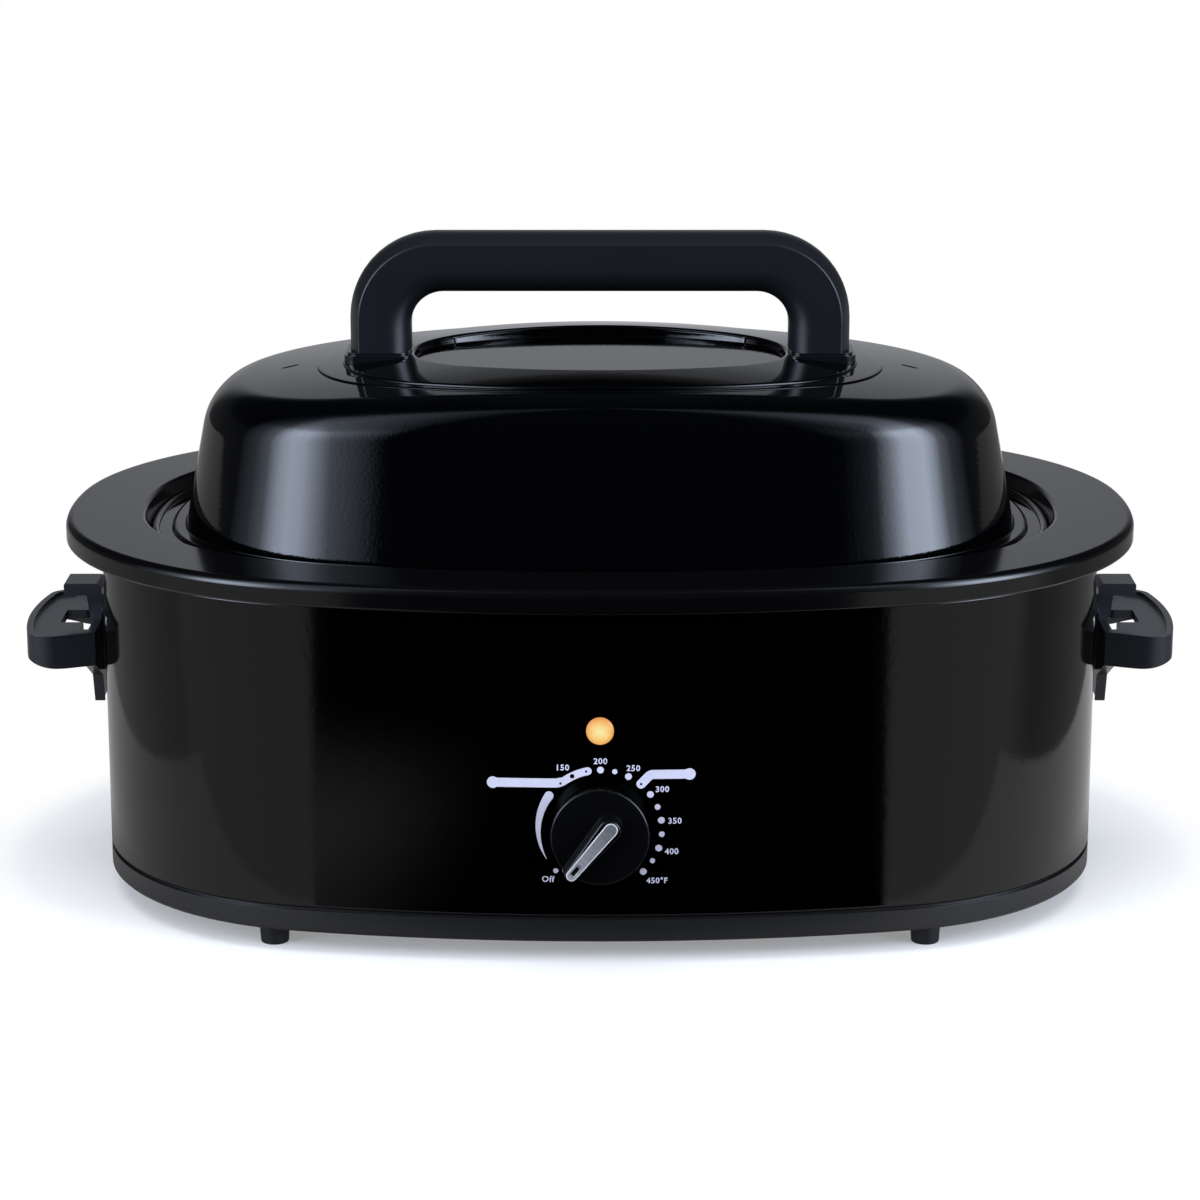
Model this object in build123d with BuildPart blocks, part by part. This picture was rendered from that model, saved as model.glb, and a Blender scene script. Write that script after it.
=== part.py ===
"""Electric roaster oven: a heated base, a lift-out roasting pan with its rack, and a lift-off lid.

Millimetres.  X runs along the length, -Y is the front with the dial, Z is up.
The origin is on the worktop, below the middle of the oven.
"""

import os
from dataclasses import dataclass
from math import atan2, cos, degrees, hypot, radians, sin, sqrt, tan

from build123d import *

os.makedirs("parts", exist_ok=True)


@dataclass(frozen=True)
class Oval:
    """A plan outline of tangent arcs: two ends, two long sides and four corners."""

    half_length: float
    half_depth: float
    end_radius: float
    side_radius: float
    corner_radius: float

    def arcs(self, inset=0.0):
        """(centre, radius, start angle, sweep) of each arc in turn, from the +X end round to it again."""
        end_x = self.half_length - self.end_radius
        side_y = self.half_depth - self.side_radius
        to_end = self.end_radius - self.corner_radius
        to_side = self.side_radius - self.corner_radius
        span = hypot(end_x, side_y)
        along = (to_end**2 - to_side**2 + span**2) / (2 * span)
        across = sqrt(to_end**2 - along**2)
        corner_x = end_x - (along * end_x + across * side_y) / span
        corner_y = (along * side_y - across * end_x) / span
        first = degrees(atan2(corner_y, corner_x - end_x))
        last = degrees(atan2(corner_y - side_y, corner_x))
        turn = last - first
        end = self.end_radius - inset
        side = self.side_radius - inset
        corner = self.corner_radius - inset
        return [
            ((end_x, 0), end, 0, first),
            ((corner_x, corner_y), corner, first, turn),
            ((0, side_y), side, last, 180 - 2 * last),
            ((-corner_x, corner_y), corner, 180 - last, turn),
            ((-end_x, 0), end, 180 - first, 2 * first),
            ((-corner_x, -corner_y), corner, 180 + first, turn),
            ((0, -side_y), side, 180 + last, 180 - 2 * last),
            ((corner_x, -corner_y), corner, 360 - last, turn),
            ((end_x, 0), end, 360 - first, first),
        ]


# ---------------------------------------------------------------- driving dimensions
# Plan outlines
rim = Oval(
    half_length=280.0, half_depth=198.5, end_radius=300.0, side_radius=602.0, corner_radius=170.0
)  # outer edge of the pan's wide rim
body = Oval(
    half_length=258.5, half_depth=187.5, end_radius=900.0, side_radius=727.0, corner_radius=133.0
)  # painted outer shell and the base below it
panel_half_depth = 98.0  # raised panel on the lid
panel_margin = 3.5  # from the lid handle's leg out to the panel's end
collar_end_width = 13.5  # faint step pressed round the panel, beyond its ends
collar_side_width = 3.5  # and along its sides
recess_half_depth = 65.5  # well in the middle of the panel
recess_margin = 3.0  # from the well's end out to the lid handle's leg

# Steel sheet
shell_sheet = 1.0
well_sheet = 1.0
pan_sheet = 1.2
lid_sheet = 1.0

# Heights, from the worktop up
foot_height = 11.0
base_skirt_height = 11.5
seam_gap = 1.2  # shadow line between the base and the shell
shell_top = 179.6
rim_rise = 9.8  # from the pan's ledge up to the top of its rim
rim_lip = 12.0  # depth of the rim's turned-down edge
pan_floor_top = 33.0
well_floor_top = 27.8

# Distances in from the rim's outer edge
rim_land_inset = 41.0
rim_step_inset = 44.5
pan_wall_inset = 58.0
pan_draft = 10.0
well_wall_inset = 52.0
lid_flange_inset = 45.5
lid_wall_inset = 63.0

# Lid
dome_radius = 1300.0
dome_top = 275.2  # height that the raised panel's dome would reach in the middle
panel_rise = 2.6  # step between the lid's top and its raised panel
collar_rise = 0.6
shoulder_radius = 24.0
lid_wall_lean = 11.0  # degrees in from vertical
lid_flange_step = 1.5  # rise from the flange's rim to the foot of the wall
recess_depth = 12.6
recess_ledge = 2.2  # ledge half way down the well
vent_slit_x = 163.0
vent_slit_y = 5.0
vent_slit_length = 11.5
vent_slit_width = 1.6

# Lid handle
lid_handle_half_span = 130.5
lid_handle_leg = 30.0
lid_handle_depth = 35.0
lid_handle_height = 61.5
lid_handle_bar = 28.0
lid_handle_outer_radius = 45.0
lid_handle_inner_radius = 17.0
lid_handle_crown = 5.0  # how far its outer face falls from the middle to the crease at each side
lid_handle_grip_radius = 10.0  # rounding of the inner edges, where the fingers close
gasket_height = 4.4  # from the lid's dome up to the foot of the handle

# Side handles
side_handle_projection = 45.0
side_handle_bow = 7.5  # how far its outer edge bows out between the corners
side_handle_half_width = 56.0
side_handle_root_half_width = 42.0
side_handle_top = 131.0
side_handle_height = 18.0
side_handle_rim = 3.5
side_handle_web = 4.5
side_handle_web_drop = 2.0
side_handle_tip_rise = 7.0  # how far the underside curves up towards the outer edge
side_handle_tip_run = 26.0
wall_plate_gap = 5.5
wall_plate_thickness = 5.5
wall_plate_half_width = 16.0
wall_plate_bottom = 85.0
wall_plate_top = 146.5
hook_projection = 25.5
hook_half_width = 11.5
hook_height = 6.5
hook_rise = 3.0  # above the top of the wall plate
side_screw_heights = (110.0, 130.0)

# Control dial
dial_z = 69.3
knob_radius = 24.3
knob_back_radius = 22.0
knob_gap = 1.4
knob_depth = 12.1
grip_height = 8.0
pointer_angle = 230.6  # where the pointer rests, just short of the off mark
shaft_radius = 3.0
shaft_clearance = 0.05

# Indicator lamp
lamp_z = 119.4
lens_radius = 6.75
lens_projection = 2.4
lens_barrel_radius = 5.8
lens_barrel_length = 9.0

# Cord inlet
inlet_z = 45.0
cord_radius = 3.6
inlet_barrel_radius = 7.9
inlet_barrel_length = 12.0
inlet_flange_radius = 12.0

# Feet and fixings
foot_x = 163.0
foot_y = 153.0
foot_radius = 7.75
screw_radius = 2.0
screw_head_radius = 3.8
screw_head_height = 2.2
screw_clearance = 0.2
screw_end_gap = 1.0  # left free beyond a screw's end in a blind hole
seat_gap = 0.3  # between a flat piece and the curved wall that it sits against


# ---------------------------------------------------------------- outlines and levels worked out from these
def plump_oval(half_length, half_depth):
    """A fuller outline than an ellipse of that size, whose three radii keep in step with it."""
    excess = half_length - half_depth
    return Oval(
        half_length,
        half_depth,
        end_radius=half_depth - excess / 6,
        side_radius=half_length + 1.5 * excess,
        corner_radius=0.75 * half_depth,
    )


def dome_drop(distance):
    """How far the lid's dome has fallen at a distance from the middle."""
    return dome_radius - sqrt(dome_radius**2 - distance**2)


platform = plump_oval(lid_handle_half_span + panel_margin, panel_half_depth)
collar = plump_oval(platform.half_length + collar_end_width, platform.half_depth + collar_side_width)
recess = plump_oval(lid_handle_half_span - lid_handle_leg - recess_margin, recess_half_depth)
base_floor_sheet = 2.0
base_floor_top = foot_height + base_floor_sheet
base_skirt_top = foot_height + base_skirt_height
shell_bottom = base_skirt_top + seam_gap
pan_seat = shell_top + well_sheet
ledge_top = pan_seat + pan_sheet
rim_top = ledge_top + rim_rise
well_floor_bottom = well_floor_top - well_sheet
well_outer_inset = well_wall_inset - well_sheet
lid_flange_top = ledge_top + lid_sheet
lid_wall_foot = lid_flange_top + lid_flange_step
recess_floor = dome_top - recess_depth
lid_screw_x = lid_handle_half_span - lid_handle_leg / 2
lid_handle_seat = dome_top - dome_drop(lid_screw_x) + gasket_height
lid_handle_top = lid_handle_seat + lid_handle_height
knob_reach = knob_gap + knob_depth + grip_height
front_y = -body.half_depth
back_y = body.half_depth
wall_x = body.half_length
handle_x = wall_x + side_handle_projection
hook_x = wall_x + hook_projection


# ---------------------------------------------------------------- shared drawing steps
def trace_oval(oval, inset=0.0):
    """Draws the oval's edges, moved in by inset, into the line that is open."""
    for centre, radius, start, sweep_angle in oval.arcs(inset):
        CenterArc(centre, radius, start, sweep_angle)


def draw_oval(oval, inset=0.0, mode=Mode.ADD):
    """Adds the oval's face, moved in by inset, to the sketch that is open."""
    with BuildLine() as outline:
        trace_oval(oval, inset)
    make_face(outline.edges(), mode=mode)


def draw_ring(oval, outer_inset, inner_inset):
    """Adds the band between two insets of the oval to the sketch that is open."""
    draw_oval(oval, outer_inset)
    draw_oval(oval, inner_inset, mode=Mode.SUBTRACT)


def run_round(oval, section):
    """Sweeps a section, drawn on Plane.XZ at the oval's +X end, once round the oval."""
    with BuildLine() as path:
        trace_oval(oval)
    sweep(section.sketch, path=path.wire())


def press_sheet(oval, points, radii, sheet):
    """Adds a sheet that is bent along points, with its metal on their left, and runs round the oval."""
    with BuildSketch(Plane.XZ) as section:
        with BuildLine() as bend:
            FilletPolyline(*points, radius=radii)
            offset(amount=sheet, side=Side.LEFT)
        make_face()
    run_round(oval, section)


def add_discs(plane, spots, radius, height, mode=Mode.ADD):
    """Adds, or cuts, one straight cylinder at each spot of the plane."""
    with BuildSketch(plane) as discs:
        with Locations(*spots):
            Circle(radius)
    extrude(discs.sketch, amount=height, mode=mode)


def add_screws(plane, spots, length):
    """Adds pan-head screws whose heads lie behind the plane and whose shanks run along its Z."""
    add_discs(plane, spots, screw_head_radius, -screw_head_height)
    add_discs(plane, spots, screw_radius, length)


def finish(piece, label):
    """Names a piece and writes it."""
    piece.part.label = label
    export_step(piece.part, f"parts/{label}.step")


def four_corners(x, y):
    """The four spots at (+-x, +-y)."""
    return [(side * x, end * y) for side in (-1, 1) for end in (-1, 1)]


def rim_x(inset):
    """X of the rim's outline at its +X end, moved in by inset."""
    return rim.half_length - inset


# Planes on the front wall, with local Y up and local Z outwards, and their like at the back
dial_plane = Plane(origin=(0, front_y, dial_z), x_dir=(1, 0, 0), z_dir=(0, -1, 0))
lamp_plane = Plane(origin=(0, front_y, lamp_z), x_dir=(1, 0, 0), z_dir=(0, -1, 0))
inlet_plane = Plane(origin=(0, back_y, inlet_z), x_dir=(-1, 0, 0), z_dir=(0, 1, 0))


# ---------------------------------------------------------------- base pan, feet and their screws
base_land = 8.5  # width of the ring that the shell stands on
seam_depth = 2.0
base_edge = 1.5
foot_boss_radius = 4.5
foot_boss_height = 8.0
spacer_x = 120.0
spacer_y = 70.0
vent_slot_length = 40.0
vent_slot_width = 5.0
vent_slot_pitch_x = 60.0
vent_slot_pitch_y = 24.0
foot_spots = four_corners(foot_x, foot_y)
spacer_spots = four_corners(spacer_x, spacer_y)

with BuildPart() as base_pan:
    with BuildSketch(Plane.XZ) as skirt:
        with BuildLine():
            Polyline(
                (wall_x - base_edge, foot_height),
                (wall_x, foot_height + base_edge),
                (wall_x, base_skirt_top),
                (wall_x - seam_depth, base_skirt_top),
                (wall_x - seam_depth, shell_bottom),
                (wall_x - base_land, shell_bottom),
                (wall_x - base_land, foot_height),
                close=True,
            )
        make_face()
    run_round(body, skirt)
    with BuildSketch(Plane.XY.offset(foot_height)):
        draw_oval(body, base_land)
    extrude(amount=base_floor_sheet)
    add_discs(Plane.XY.offset(base_floor_top), foot_spots, foot_boss_radius, foot_boss_height)
    add_discs(
        Plane.XY.offset(foot_height),
        foot_spots + spacer_spots,
        screw_radius + screw_clearance,
        base_floor_sheet + foot_boss_height,
        mode=Mode.SUBTRACT,
    )
    with BuildSketch(Plane.XY.offset(foot_height)):
        with GridLocations(vent_slot_pitch_x, vent_slot_pitch_y, 3, 3):
            SlotOverall(vent_slot_length, vent_slot_width)
    extrude(amount=base_floor_sheet, mode=Mode.SUBTRACT)
finish(base_pan, "base_pan")

foot_recess_depth = 5.0
foot_recess_radius = screw_head_radius + 2 * screw_clearance
foot_edge = 0.8
foot_draft = 4.0
with BuildPart() as feet:
    with BuildSketch(Plane.XY.offset(foot_height)):
        with Locations(*foot_spots):
            Circle(foot_radius)
    extrude(amount=-foot_height, taper=foot_draft)
    fillet(feet.edges().group_by(Axis.Z)[0], foot_edge)
    add_discs(Plane.XY, foot_spots, foot_recess_radius, foot_recess_depth, mode=Mode.SUBTRACT)
    add_discs(Plane.XY, foot_spots, screw_radius + screw_clearance, foot_height, mode=Mode.SUBTRACT)
finish(feet, "feet")

with BuildPart() as foot_screws:
    foot_screw_length = base_floor_top + foot_boss_height - foot_recess_depth
    add_screws(Plane.XY.offset(foot_recess_depth), foot_spots, foot_screw_length)
finish(foot_screws, "foot_screws")

# ---------------------------------------------------------------- painted outer shell
shell_foot_flange = 10.0
shell_top_flange = 12.0
shell_bend = 2.0
shaft_hole_radius = 6.0
lamp_hole_radius = lens_barrel_radius + screw_clearance
inlet_hole_radius = inlet_barrel_radius + screw_clearance
thermostat_screw_x = 14.0
thermostat_screw_spots = [(-thermostat_screw_x, 0), (thermostat_screw_x, 0)]
through_shell = 5 * shell_sheet
side_screw_spots = [(0, height) for height in side_screw_heights]

with BuildPart() as outer_shell:
    press_sheet(
        body,
        [
            (wall_x - shell_foot_flange, shell_bottom),
            (wall_x, shell_bottom),
            (wall_x, shell_top),
            (wall_x - shell_top_flange, shell_top),
        ],
        shell_bend,
        shell_sheet,
    )
    add_discs(dial_plane, [(0, 0)], shaft_hole_radius, -through_shell, mode=Mode.SUBTRACT)
    add_discs(
        dial_plane, thermostat_screw_spots, screw_radius + screw_clearance, -through_shell, mode=Mode.SUBTRACT
    )
    add_discs(lamp_plane, [(0, 0)], lamp_hole_radius, -through_shell, mode=Mode.SUBTRACT)
    add_discs(inlet_plane, [(0, 0)], inlet_hole_radius, -through_shell, mode=Mode.SUBTRACT)
    for end in (-1, 1):
        add_discs(
            Plane.YZ.offset(end * (wall_x - through_shell)),
            side_screw_spots,
            screw_radius + screw_clearance,
            end * 2 * through_shell,
            mode=Mode.SUBTRACT,
        )
finish(outer_shell, "outer_shell")

# ---------------------------------------------------------------- heating well and what stands round it
well_flange_inset = 0.6
well_bend = 3.0
well_floor_bend = 18.0
well_flange_lap = 5.0

with BuildPart() as well_liner:
    press_sheet(
        rim,
        [
            (rim_x(well_wall_inset) + well_flange_lap, pan_seat),
            (rim_x(well_wall_inset), pan_seat),
            (rim_x(well_wall_inset), well_floor_top),
            (rim_x(well_wall_inset) - well_floor_bend - well_flange_lap, well_floor_top),
        ],
        [well_bend, well_floor_bend],
        well_sheet,
    )
    with BuildSketch(Plane.XY.offset(shell_top)):
        draw_oval(body, well_flange_inset)
        draw_oval(rim, well_wall_inset - well_flange_lap, mode=Mode.SUBTRACT)
    extrude(amount=well_sheet)
    with BuildSketch(Plane.XY.offset(well_floor_bottom)):
        draw_oval(rim, well_wall_inset + well_floor_bend + well_flange_lap)
    extrude(amount=well_sheet)
finish(well_liner, "well_liner")

spacer_radius = 5.0
spacer_thread_depth = 9.0
with BuildPart() as well_spacers:
    spacer_plane = Plane.XY.offset(base_floor_top)
    add_discs(spacer_plane, spacer_spots, spacer_radius, well_floor_bottom - base_floor_top)
    add_discs(
        spacer_plane, spacer_spots, screw_radius + screw_clearance, spacer_thread_depth, mode=Mode.SUBTRACT
    )
finish(well_spacers, "well_spacers")

with BuildPart() as spacer_screws:
    add_screws(
        Plane.XY.offset(foot_height), spacer_spots, base_floor_sheet + spacer_thread_depth - screw_end_gap
    )
finish(spacer_screws, "spacer_screws")

heater_gap = 0.1
heater_sheet = 1.6
heater_bottom = 84.0
heater_top = 140.0
heater_rib = 1.0
heater_rib_height = 4.0
heater_rib_count = 4
heater_split = 12.0
heater_inset = well_outer_inset - heater_gap
lug_thickness = 1.5
lug_height = 24.0
lug_length = 12.0
heater_back_y = rim.half_depth - heater_inset
lug_z = (heater_bottom + heater_top) / 2
lug_x = (heater_split + lug_thickness) / 2
lug_y = heater_back_y + (heater_sheet + lug_length) / 2

with BuildPart() as heater_band:
    with BuildSketch(Plane.XY.offset(heater_bottom)):
        draw_ring(rim, heater_inset - heater_sheet, heater_inset)
    extrude(amount=heater_top - heater_bottom)
    rib_pitch = (heater_top - heater_bottom) / heater_rib_count
    for rib in range(heater_rib_count):
        with BuildSketch(Plane.XY.offset(heater_bottom + (rib + 0.5) * rib_pitch - heater_rib_height / 2)):
            draw_ring(rim, heater_inset - heater_sheet - heater_rib, heater_inset - heater_sheet)
        extrude(amount=heater_rib_height)
    with BuildSketch(Plane.XY.offset(heater_bottom)):
        with Locations((0, heater_back_y)):
            Rectangle(heater_split, 4 * (heater_sheet + heater_rib))
    extrude(amount=heater_top - heater_bottom, mode=Mode.SUBTRACT)
    with BuildSketch(Plane.XY.offset(lug_z - lug_height / 2)):
        with Locations((-lug_x, lug_y), (lug_x, lug_y)):
            Rectangle(lug_thickness, lug_length)
    extrude(amount=lug_height)
    add_discs(
        Plane.YZ.offset(-heater_split),
        [(heater_back_y + lug_length / 2 + heater_sheet, lug_z)],
        screw_radius + screw_clearance,
        2 * heater_split,
        mode=Mode.SUBTRACT,
    )
finish(heater_band, "heater_band")

clamp_nut_height = 3.2
clamp_spot = [(heater_back_y + lug_length / 2 + heater_sheet, lug_z)]
clamp_half = heater_split / 2 + lug_thickness
with BuildPart() as heater_clamp_screw:
    add_screws(Plane.YZ.offset(-clamp_half), clamp_spot, 2 * clamp_half + clamp_nut_height)
    with BuildSketch(Plane.YZ.offset(clamp_half)):
        with Locations(*clamp_spot):
            RegularPolygon(screw_head_radius, 6)
    extrude(amount=clamp_nut_height)
finish(heater_clamp_screw, "heater_clamp_screw")

insulation_thickness = 9.0
insulation_bottom = 80.0
insulation_top = 150.0
insulation_inner_inset = heater_inset - heater_sheet - heater_rib - seat_gap
insulation_window = 44.0
with BuildPart() as insulation_blanket:
    with BuildSketch(Plane.XY.offset(insulation_bottom)):
        draw_ring(rim, insulation_inner_inset - insulation_thickness, insulation_inner_inset)
        with Locations((0, rim.half_depth - insulation_inner_inset)):
            Rectangle(insulation_window, 3 * insulation_thickness, mode=Mode.SUBTRACT)
    extrude(amount=insulation_top - insulation_bottom)
finish(insulation_blanket, "insulation_blanket")

# ---------------------------------------------------------------- thermostat behind the dial
thermostat_width = 36.0
thermostat_height = 40.0
thermostat_depth = 18.0
thermostat_bore_depth = 12.0
thermostat_corner = 3.0
thermostat_face = -shell_sheet - seat_gap
tab_width = 6.3
tab_thickness = 0.8
tab_length = 8.0
with BuildPart() as thermostat:
    with BuildSketch(dial_plane.offset(thermostat_face)):
        RectangleRounded(thermostat_width, thermostat_height, thermostat_corner)
    extrude(amount=-thermostat_depth)
    for spots, radius in (
        ([(0, 0)], shaft_radius + shaft_clearance),
        (thermostat_screw_spots, screw_radius + screw_clearance),
    ):
        add_discs(
            dial_plane.offset(thermostat_face), spots, radius, -thermostat_bore_depth, mode=Mode.SUBTRACT
        )
    with BuildSketch(Plane.XY.offset(dial_z - thermostat_height / 2)):
        with Locations((0, front_y - thermostat_face + thermostat_depth / 2)):
            with GridLocations(thermostat_width / 2, 1, 2, 1):
                Rectangle(tab_width, tab_thickness)
    extrude(amount=-tab_length)
finish(thermostat, "thermostat")

with BuildPart() as thermostat_screws:
    add_screws(
        Plane(origin=(0, front_y, dial_z), x_dir=(1, 0, 0), z_dir=(0, 1, 0)),
        thermostat_screw_spots,
        shell_sheet + seat_gap + thermostat_bore_depth - screw_end_gap,
    )
finish(thermostat_screws, "thermostat_screws")

bracket_sheet = 1.2
bracket_width = 20.0
bracket_height = 16.0
bracket_bend = 2.5
bracket_front_y = front_y - thermostat_face + thermostat_depth
bracket_back_y = -(rim.half_depth - well_outer_inset) - seat_gap
bracket_bottom = dial_z - bracket_height / 2
with BuildPart() as sensor_bracket:
    with BuildSketch(Plane.YZ):
        with BuildLine():
            FilletPolyline(
                (bracket_front_y, bracket_bottom + bracket_height),
                (bracket_front_y, bracket_bottom),
                (bracket_back_y, bracket_bottom),
                (bracket_back_y, bracket_bottom + bracket_height),
                radius=bracket_bend,
            )
            offset(amount=bracket_sheet, side=Side.LEFT)
        make_face()
    extrude(amount=bracket_width / 2, both=True)
finish(sensor_bracket, "sensor_bracket")

# ---------------------------------------------------------------- dial knob, its pointer and its shaft
knob_face = knob_gap + knob_depth
knob_edge = 1.0
skirt_wall = 2.6
skirt_hollow = 5.0
knob_boss_radius = 6.0
knob_socket_depth = 9.0
grip_head = 7.0  # how far the grip's wide end lies behind the axis
grip_head_radius = 7.0
grip_tip = 22.0  # how far its narrow end lies towards the pointer
grip_tip_radius = 4.5
grip_sunk = 4.0
grip_draft = 7.0
grip_edge = 0.9
pointer_head = 8.2
pointer_head_radius = 3.4
pointer_tip = 21.7
pointer_tip_radius = 2.6
pointer_thickness = 1.6
pointer_proud = 0.3
window_at = 18.8
window_length = 7.4
window_width = 2.6
knob_draft = degrees(atan2(knob_radius - knob_back_radius, knob_depth))


def draw_taper(plane_angle, head, head_radius, tip, tip_radius):
    """Adds a teardrop with its narrow end along plane_angle and its wide end the other way."""
    along = (cos(radians(plane_angle)), sin(radians(plane_angle)))
    with Locations((-head * along[0], -head * along[1])):
        Circle(head_radius)
    with Locations((tip * along[0], tip * along[1])):
        Circle(tip_radius)
    make_hull()


with BuildPart() as control_knob:
    with BuildSketch(dial_plane.offset(knob_gap)):
        Circle(knob_back_radius)
    extrude(amount=knob_depth, taper=-knob_draft)
    fillet(control_knob.faces().sort_by(Axis.Y)[0].edges(), knob_edge)
    with BuildSketch(dial_plane.offset(knob_face - grip_sunk)):
        draw_taper(pointer_angle, grip_head, grip_head_radius, grip_tip, grip_tip_radius)
    extrude(amount=grip_height + grip_sunk, taper=grip_draft)
    fillet(control_knob.faces().sort_by(Axis.Y)[0].edges(), grip_edge)
    with BuildSketch(dial_plane.offset(knob_reach)):
        draw_taper(pointer_angle, pointer_head, pointer_head_radius, pointer_tip, pointer_tip_radius)
    extrude(amount=pointer_proud - pointer_thickness, mode=Mode.SUBTRACT)
    with BuildSketch(dial_plane.offset(knob_gap)):
        Circle(knob_back_radius - skirt_wall)
        Circle(knob_boss_radius, mode=Mode.SUBTRACT)
    extrude(amount=skirt_hollow, mode=Mode.SUBTRACT)
    add_discs(dial_plane.offset(knob_gap), [(0, 0)], shaft_radius, knob_socket_depth, mode=Mode.SUBTRACT)
finish(control_knob, "control_knob")

with BuildPart() as knob_pointer:
    pointer_plane = dial_plane.offset(knob_reach + pointer_proud)
    with BuildSketch(pointer_plane):
        draw_taper(pointer_angle, pointer_head, pointer_head_radius, pointer_tip, pointer_tip_radius)
    extrude(amount=-pointer_thickness)
    with BuildSketch(pointer_plane):
        with PolarLocations(window_at, 1, start_angle=pointer_angle):
            SlotOverall(window_length, window_width)
    extrude(amount=-pointer_thickness / 2, mode=Mode.SUBTRACT)
finish(knob_pointer, "knob_pointer")

with BuildPart() as control_shaft:
    shaft_start = thermostat_face - thermostat_bore_depth + screw_end_gap
    add_discs(
        dial_plane.offset(shaft_start), [(0, 0)], shaft_radius, knob_gap + knob_socket_depth - shaft_start
    )
finish(control_shaft, "control_shaft")

# ---------------------------------------------------------------- indicator lamp
lens_edge = 1.6
lens_bore_radius = 4.4
lens_bore_end = -1.0
clip_outer_radius = 9.0
clip_thickness = 1.5
clip_face = -shell_sheet - seat_gap
holder_nose = 3.0
holder_length = 6.0
bulb_radius = 2.6
bulb_nose_radius = 2.1
with BuildPart() as indicator_lens:
    add_discs(lamp_plane, [(0, 0)], lens_radius, lens_projection)
    fillet(indicator_lens.edges().sort_by(Axis.Y)[0], lens_edge)
    add_discs(lamp_plane, [(0, 0)], lens_barrel_radius, -lens_barrel_length)
    add_discs(
        lamp_plane.offset(-lens_barrel_length),
        [(0, 0)],
        lens_bore_radius,
        lens_barrel_length + lens_bore_end,
        mode=Mode.SUBTRACT,
    )
finish(indicator_lens, "indicator_lens")

with BuildPart() as lens_clip:
    with BuildSketch(lamp_plane.offset(clip_face)):
        Circle(clip_outer_radius)
        Circle(lens_barrel_radius + shaft_clearance, mode=Mode.SUBTRACT)
    extrude(amount=-clip_thickness)
finish(lens_clip, "lens_clip")

with BuildPart() as lamp_holder:
    holder_plane = lamp_plane.offset(-lens_barrel_length)
    add_discs(holder_plane, [(0, 0)], lens_barrel_radius, -holder_length)
    add_discs(holder_plane, [(0, 0)], lens_bore_radius - shaft_clearance, holder_nose)
finish(lamp_holder, "lamp_holder")

with BuildPart() as neon_lamp:
    bulb_start = holder_nose - lens_barrel_length
    add_discs(lamp_plane.offset(bulb_start), [(0, 0)], bulb_radius, lens_bore_end - bulb_start - seat_gap)
    fillet(neon_lamp.edges().sort_by(Axis.Y)[0], bulb_nose_radius)
finish(neon_lamp, "neon_lamp")

# ---------------------------------------------------------------- cord inlet and terminals at the back
inlet_flange_thickness = 3.0
inlet_nose_radius = 8.6
inlet_nose_draft = 4.0
inlet_nose_edge = 1.0
inlet_nut_height = 5.0
inlet_nut_radius = 12.5
with BuildPart() as cord_inlet:
    add_discs(inlet_plane, [(0, 0)], inlet_flange_radius, inlet_flange_thickness)
    with BuildSketch(inlet_plane.offset(inlet_flange_thickness)):
        Circle(inlet_nose_radius)
    extrude(amount=knob_reach - inlet_flange_thickness + pointer_proud, taper=inlet_nose_draft)
    fillet(cord_inlet.edges().sort_by(Axis.Y)[-1], inlet_nose_edge)
    add_discs(inlet_plane, [(0, 0)], inlet_barrel_radius, -inlet_barrel_length)
    add_discs(
        inlet_plane.offset(-inlet_barrel_length),
        [(0, 0)],
        cord_radius,
        inlet_barrel_length + knob_reach + pointer_proud,
        mode=Mode.SUBTRACT,
    )
finish(cord_inlet, "cord_inlet")

with BuildPart() as cord_inlet_nut:
    with BuildSketch(inlet_plane.offset(-shell_sheet - seat_gap)):
        RegularPolygon(inlet_nut_radius, 6)
        Circle(inlet_barrel_radius + shaft_clearance, mode=Mode.SUBTRACT)
    extrude(amount=-inlet_nut_height)
finish(cord_inlet_nut, "cord_inlet_nut")

terminal_y = 150.0
terminal_length = 42.0
terminal_depth = 16.0
terminal_height = 11.0
terminal_pitch = 13.0
terminal_wall = 1.5
terminal_wall_height = 2.0
terminal_screw_radius = 3.0
terminal_screw_height = 1.6
with BuildPart() as terminal_block:
    with BuildSketch(Plane.XY.offset(base_floor_top)):
        with Locations((0, terminal_y)):
            Rectangle(terminal_length, terminal_depth)
    extrude(amount=terminal_height)
    with BuildSketch(Plane.XY.offset(base_floor_top + terminal_height)):
        with Locations((0, terminal_y)):
            with GridLocations(terminal_pitch, 1, 4, 1):
                Rectangle(terminal_wall, terminal_depth)
    extrude(amount=terminal_wall_height)
finish(terminal_block, "terminal_block")

with BuildPart() as terminal_screws:
    terminal_spots = [(offset_x * terminal_pitch, terminal_y) for offset_x in (-1, 0, 1)]
    add_discs(
        Plane.XY.offset(base_floor_top + terminal_height),
        terminal_spots,
        terminal_screw_radius,
        terminal_screw_height,
    )
finish(terminal_screws, "terminal_screws")

# ---------------------------------------------------------------- side handles
plate_inner_x = wall_x + wall_plate_gap
plate_outer_x = plate_inner_x + wall_plate_thickness
handle_corner_radius = 11.0
handle_shoulder_x = handle_x - side_handle_bow
handle_underside_start = handle_x - side_handle_tip_run
web_top = side_handle_top - side_handle_web_drop
web_bottom = web_top - side_handle_web
handle_bottom = side_handle_top - side_handle_height
pad_half_width = 13.0
pad_bottom = 103.0
pad_top = 138.0
leg_half_width = 10.0
leg_flare_z = 101.0
leg_step_depth = 1.6
leg_step_height = 3.0
gusset_run = 5.0
gusset_drop = 3.2
hook_top = wall_plate_top + hook_rise
hook_slope = 2.5  # run of the slopes at both sides of the hook's post
hook_edge = 1.0
slot_projection = 27.5
slot_half_width = 13.0
slot_bar_width = 4.0
slot_bar_half_length = 28.0
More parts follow.
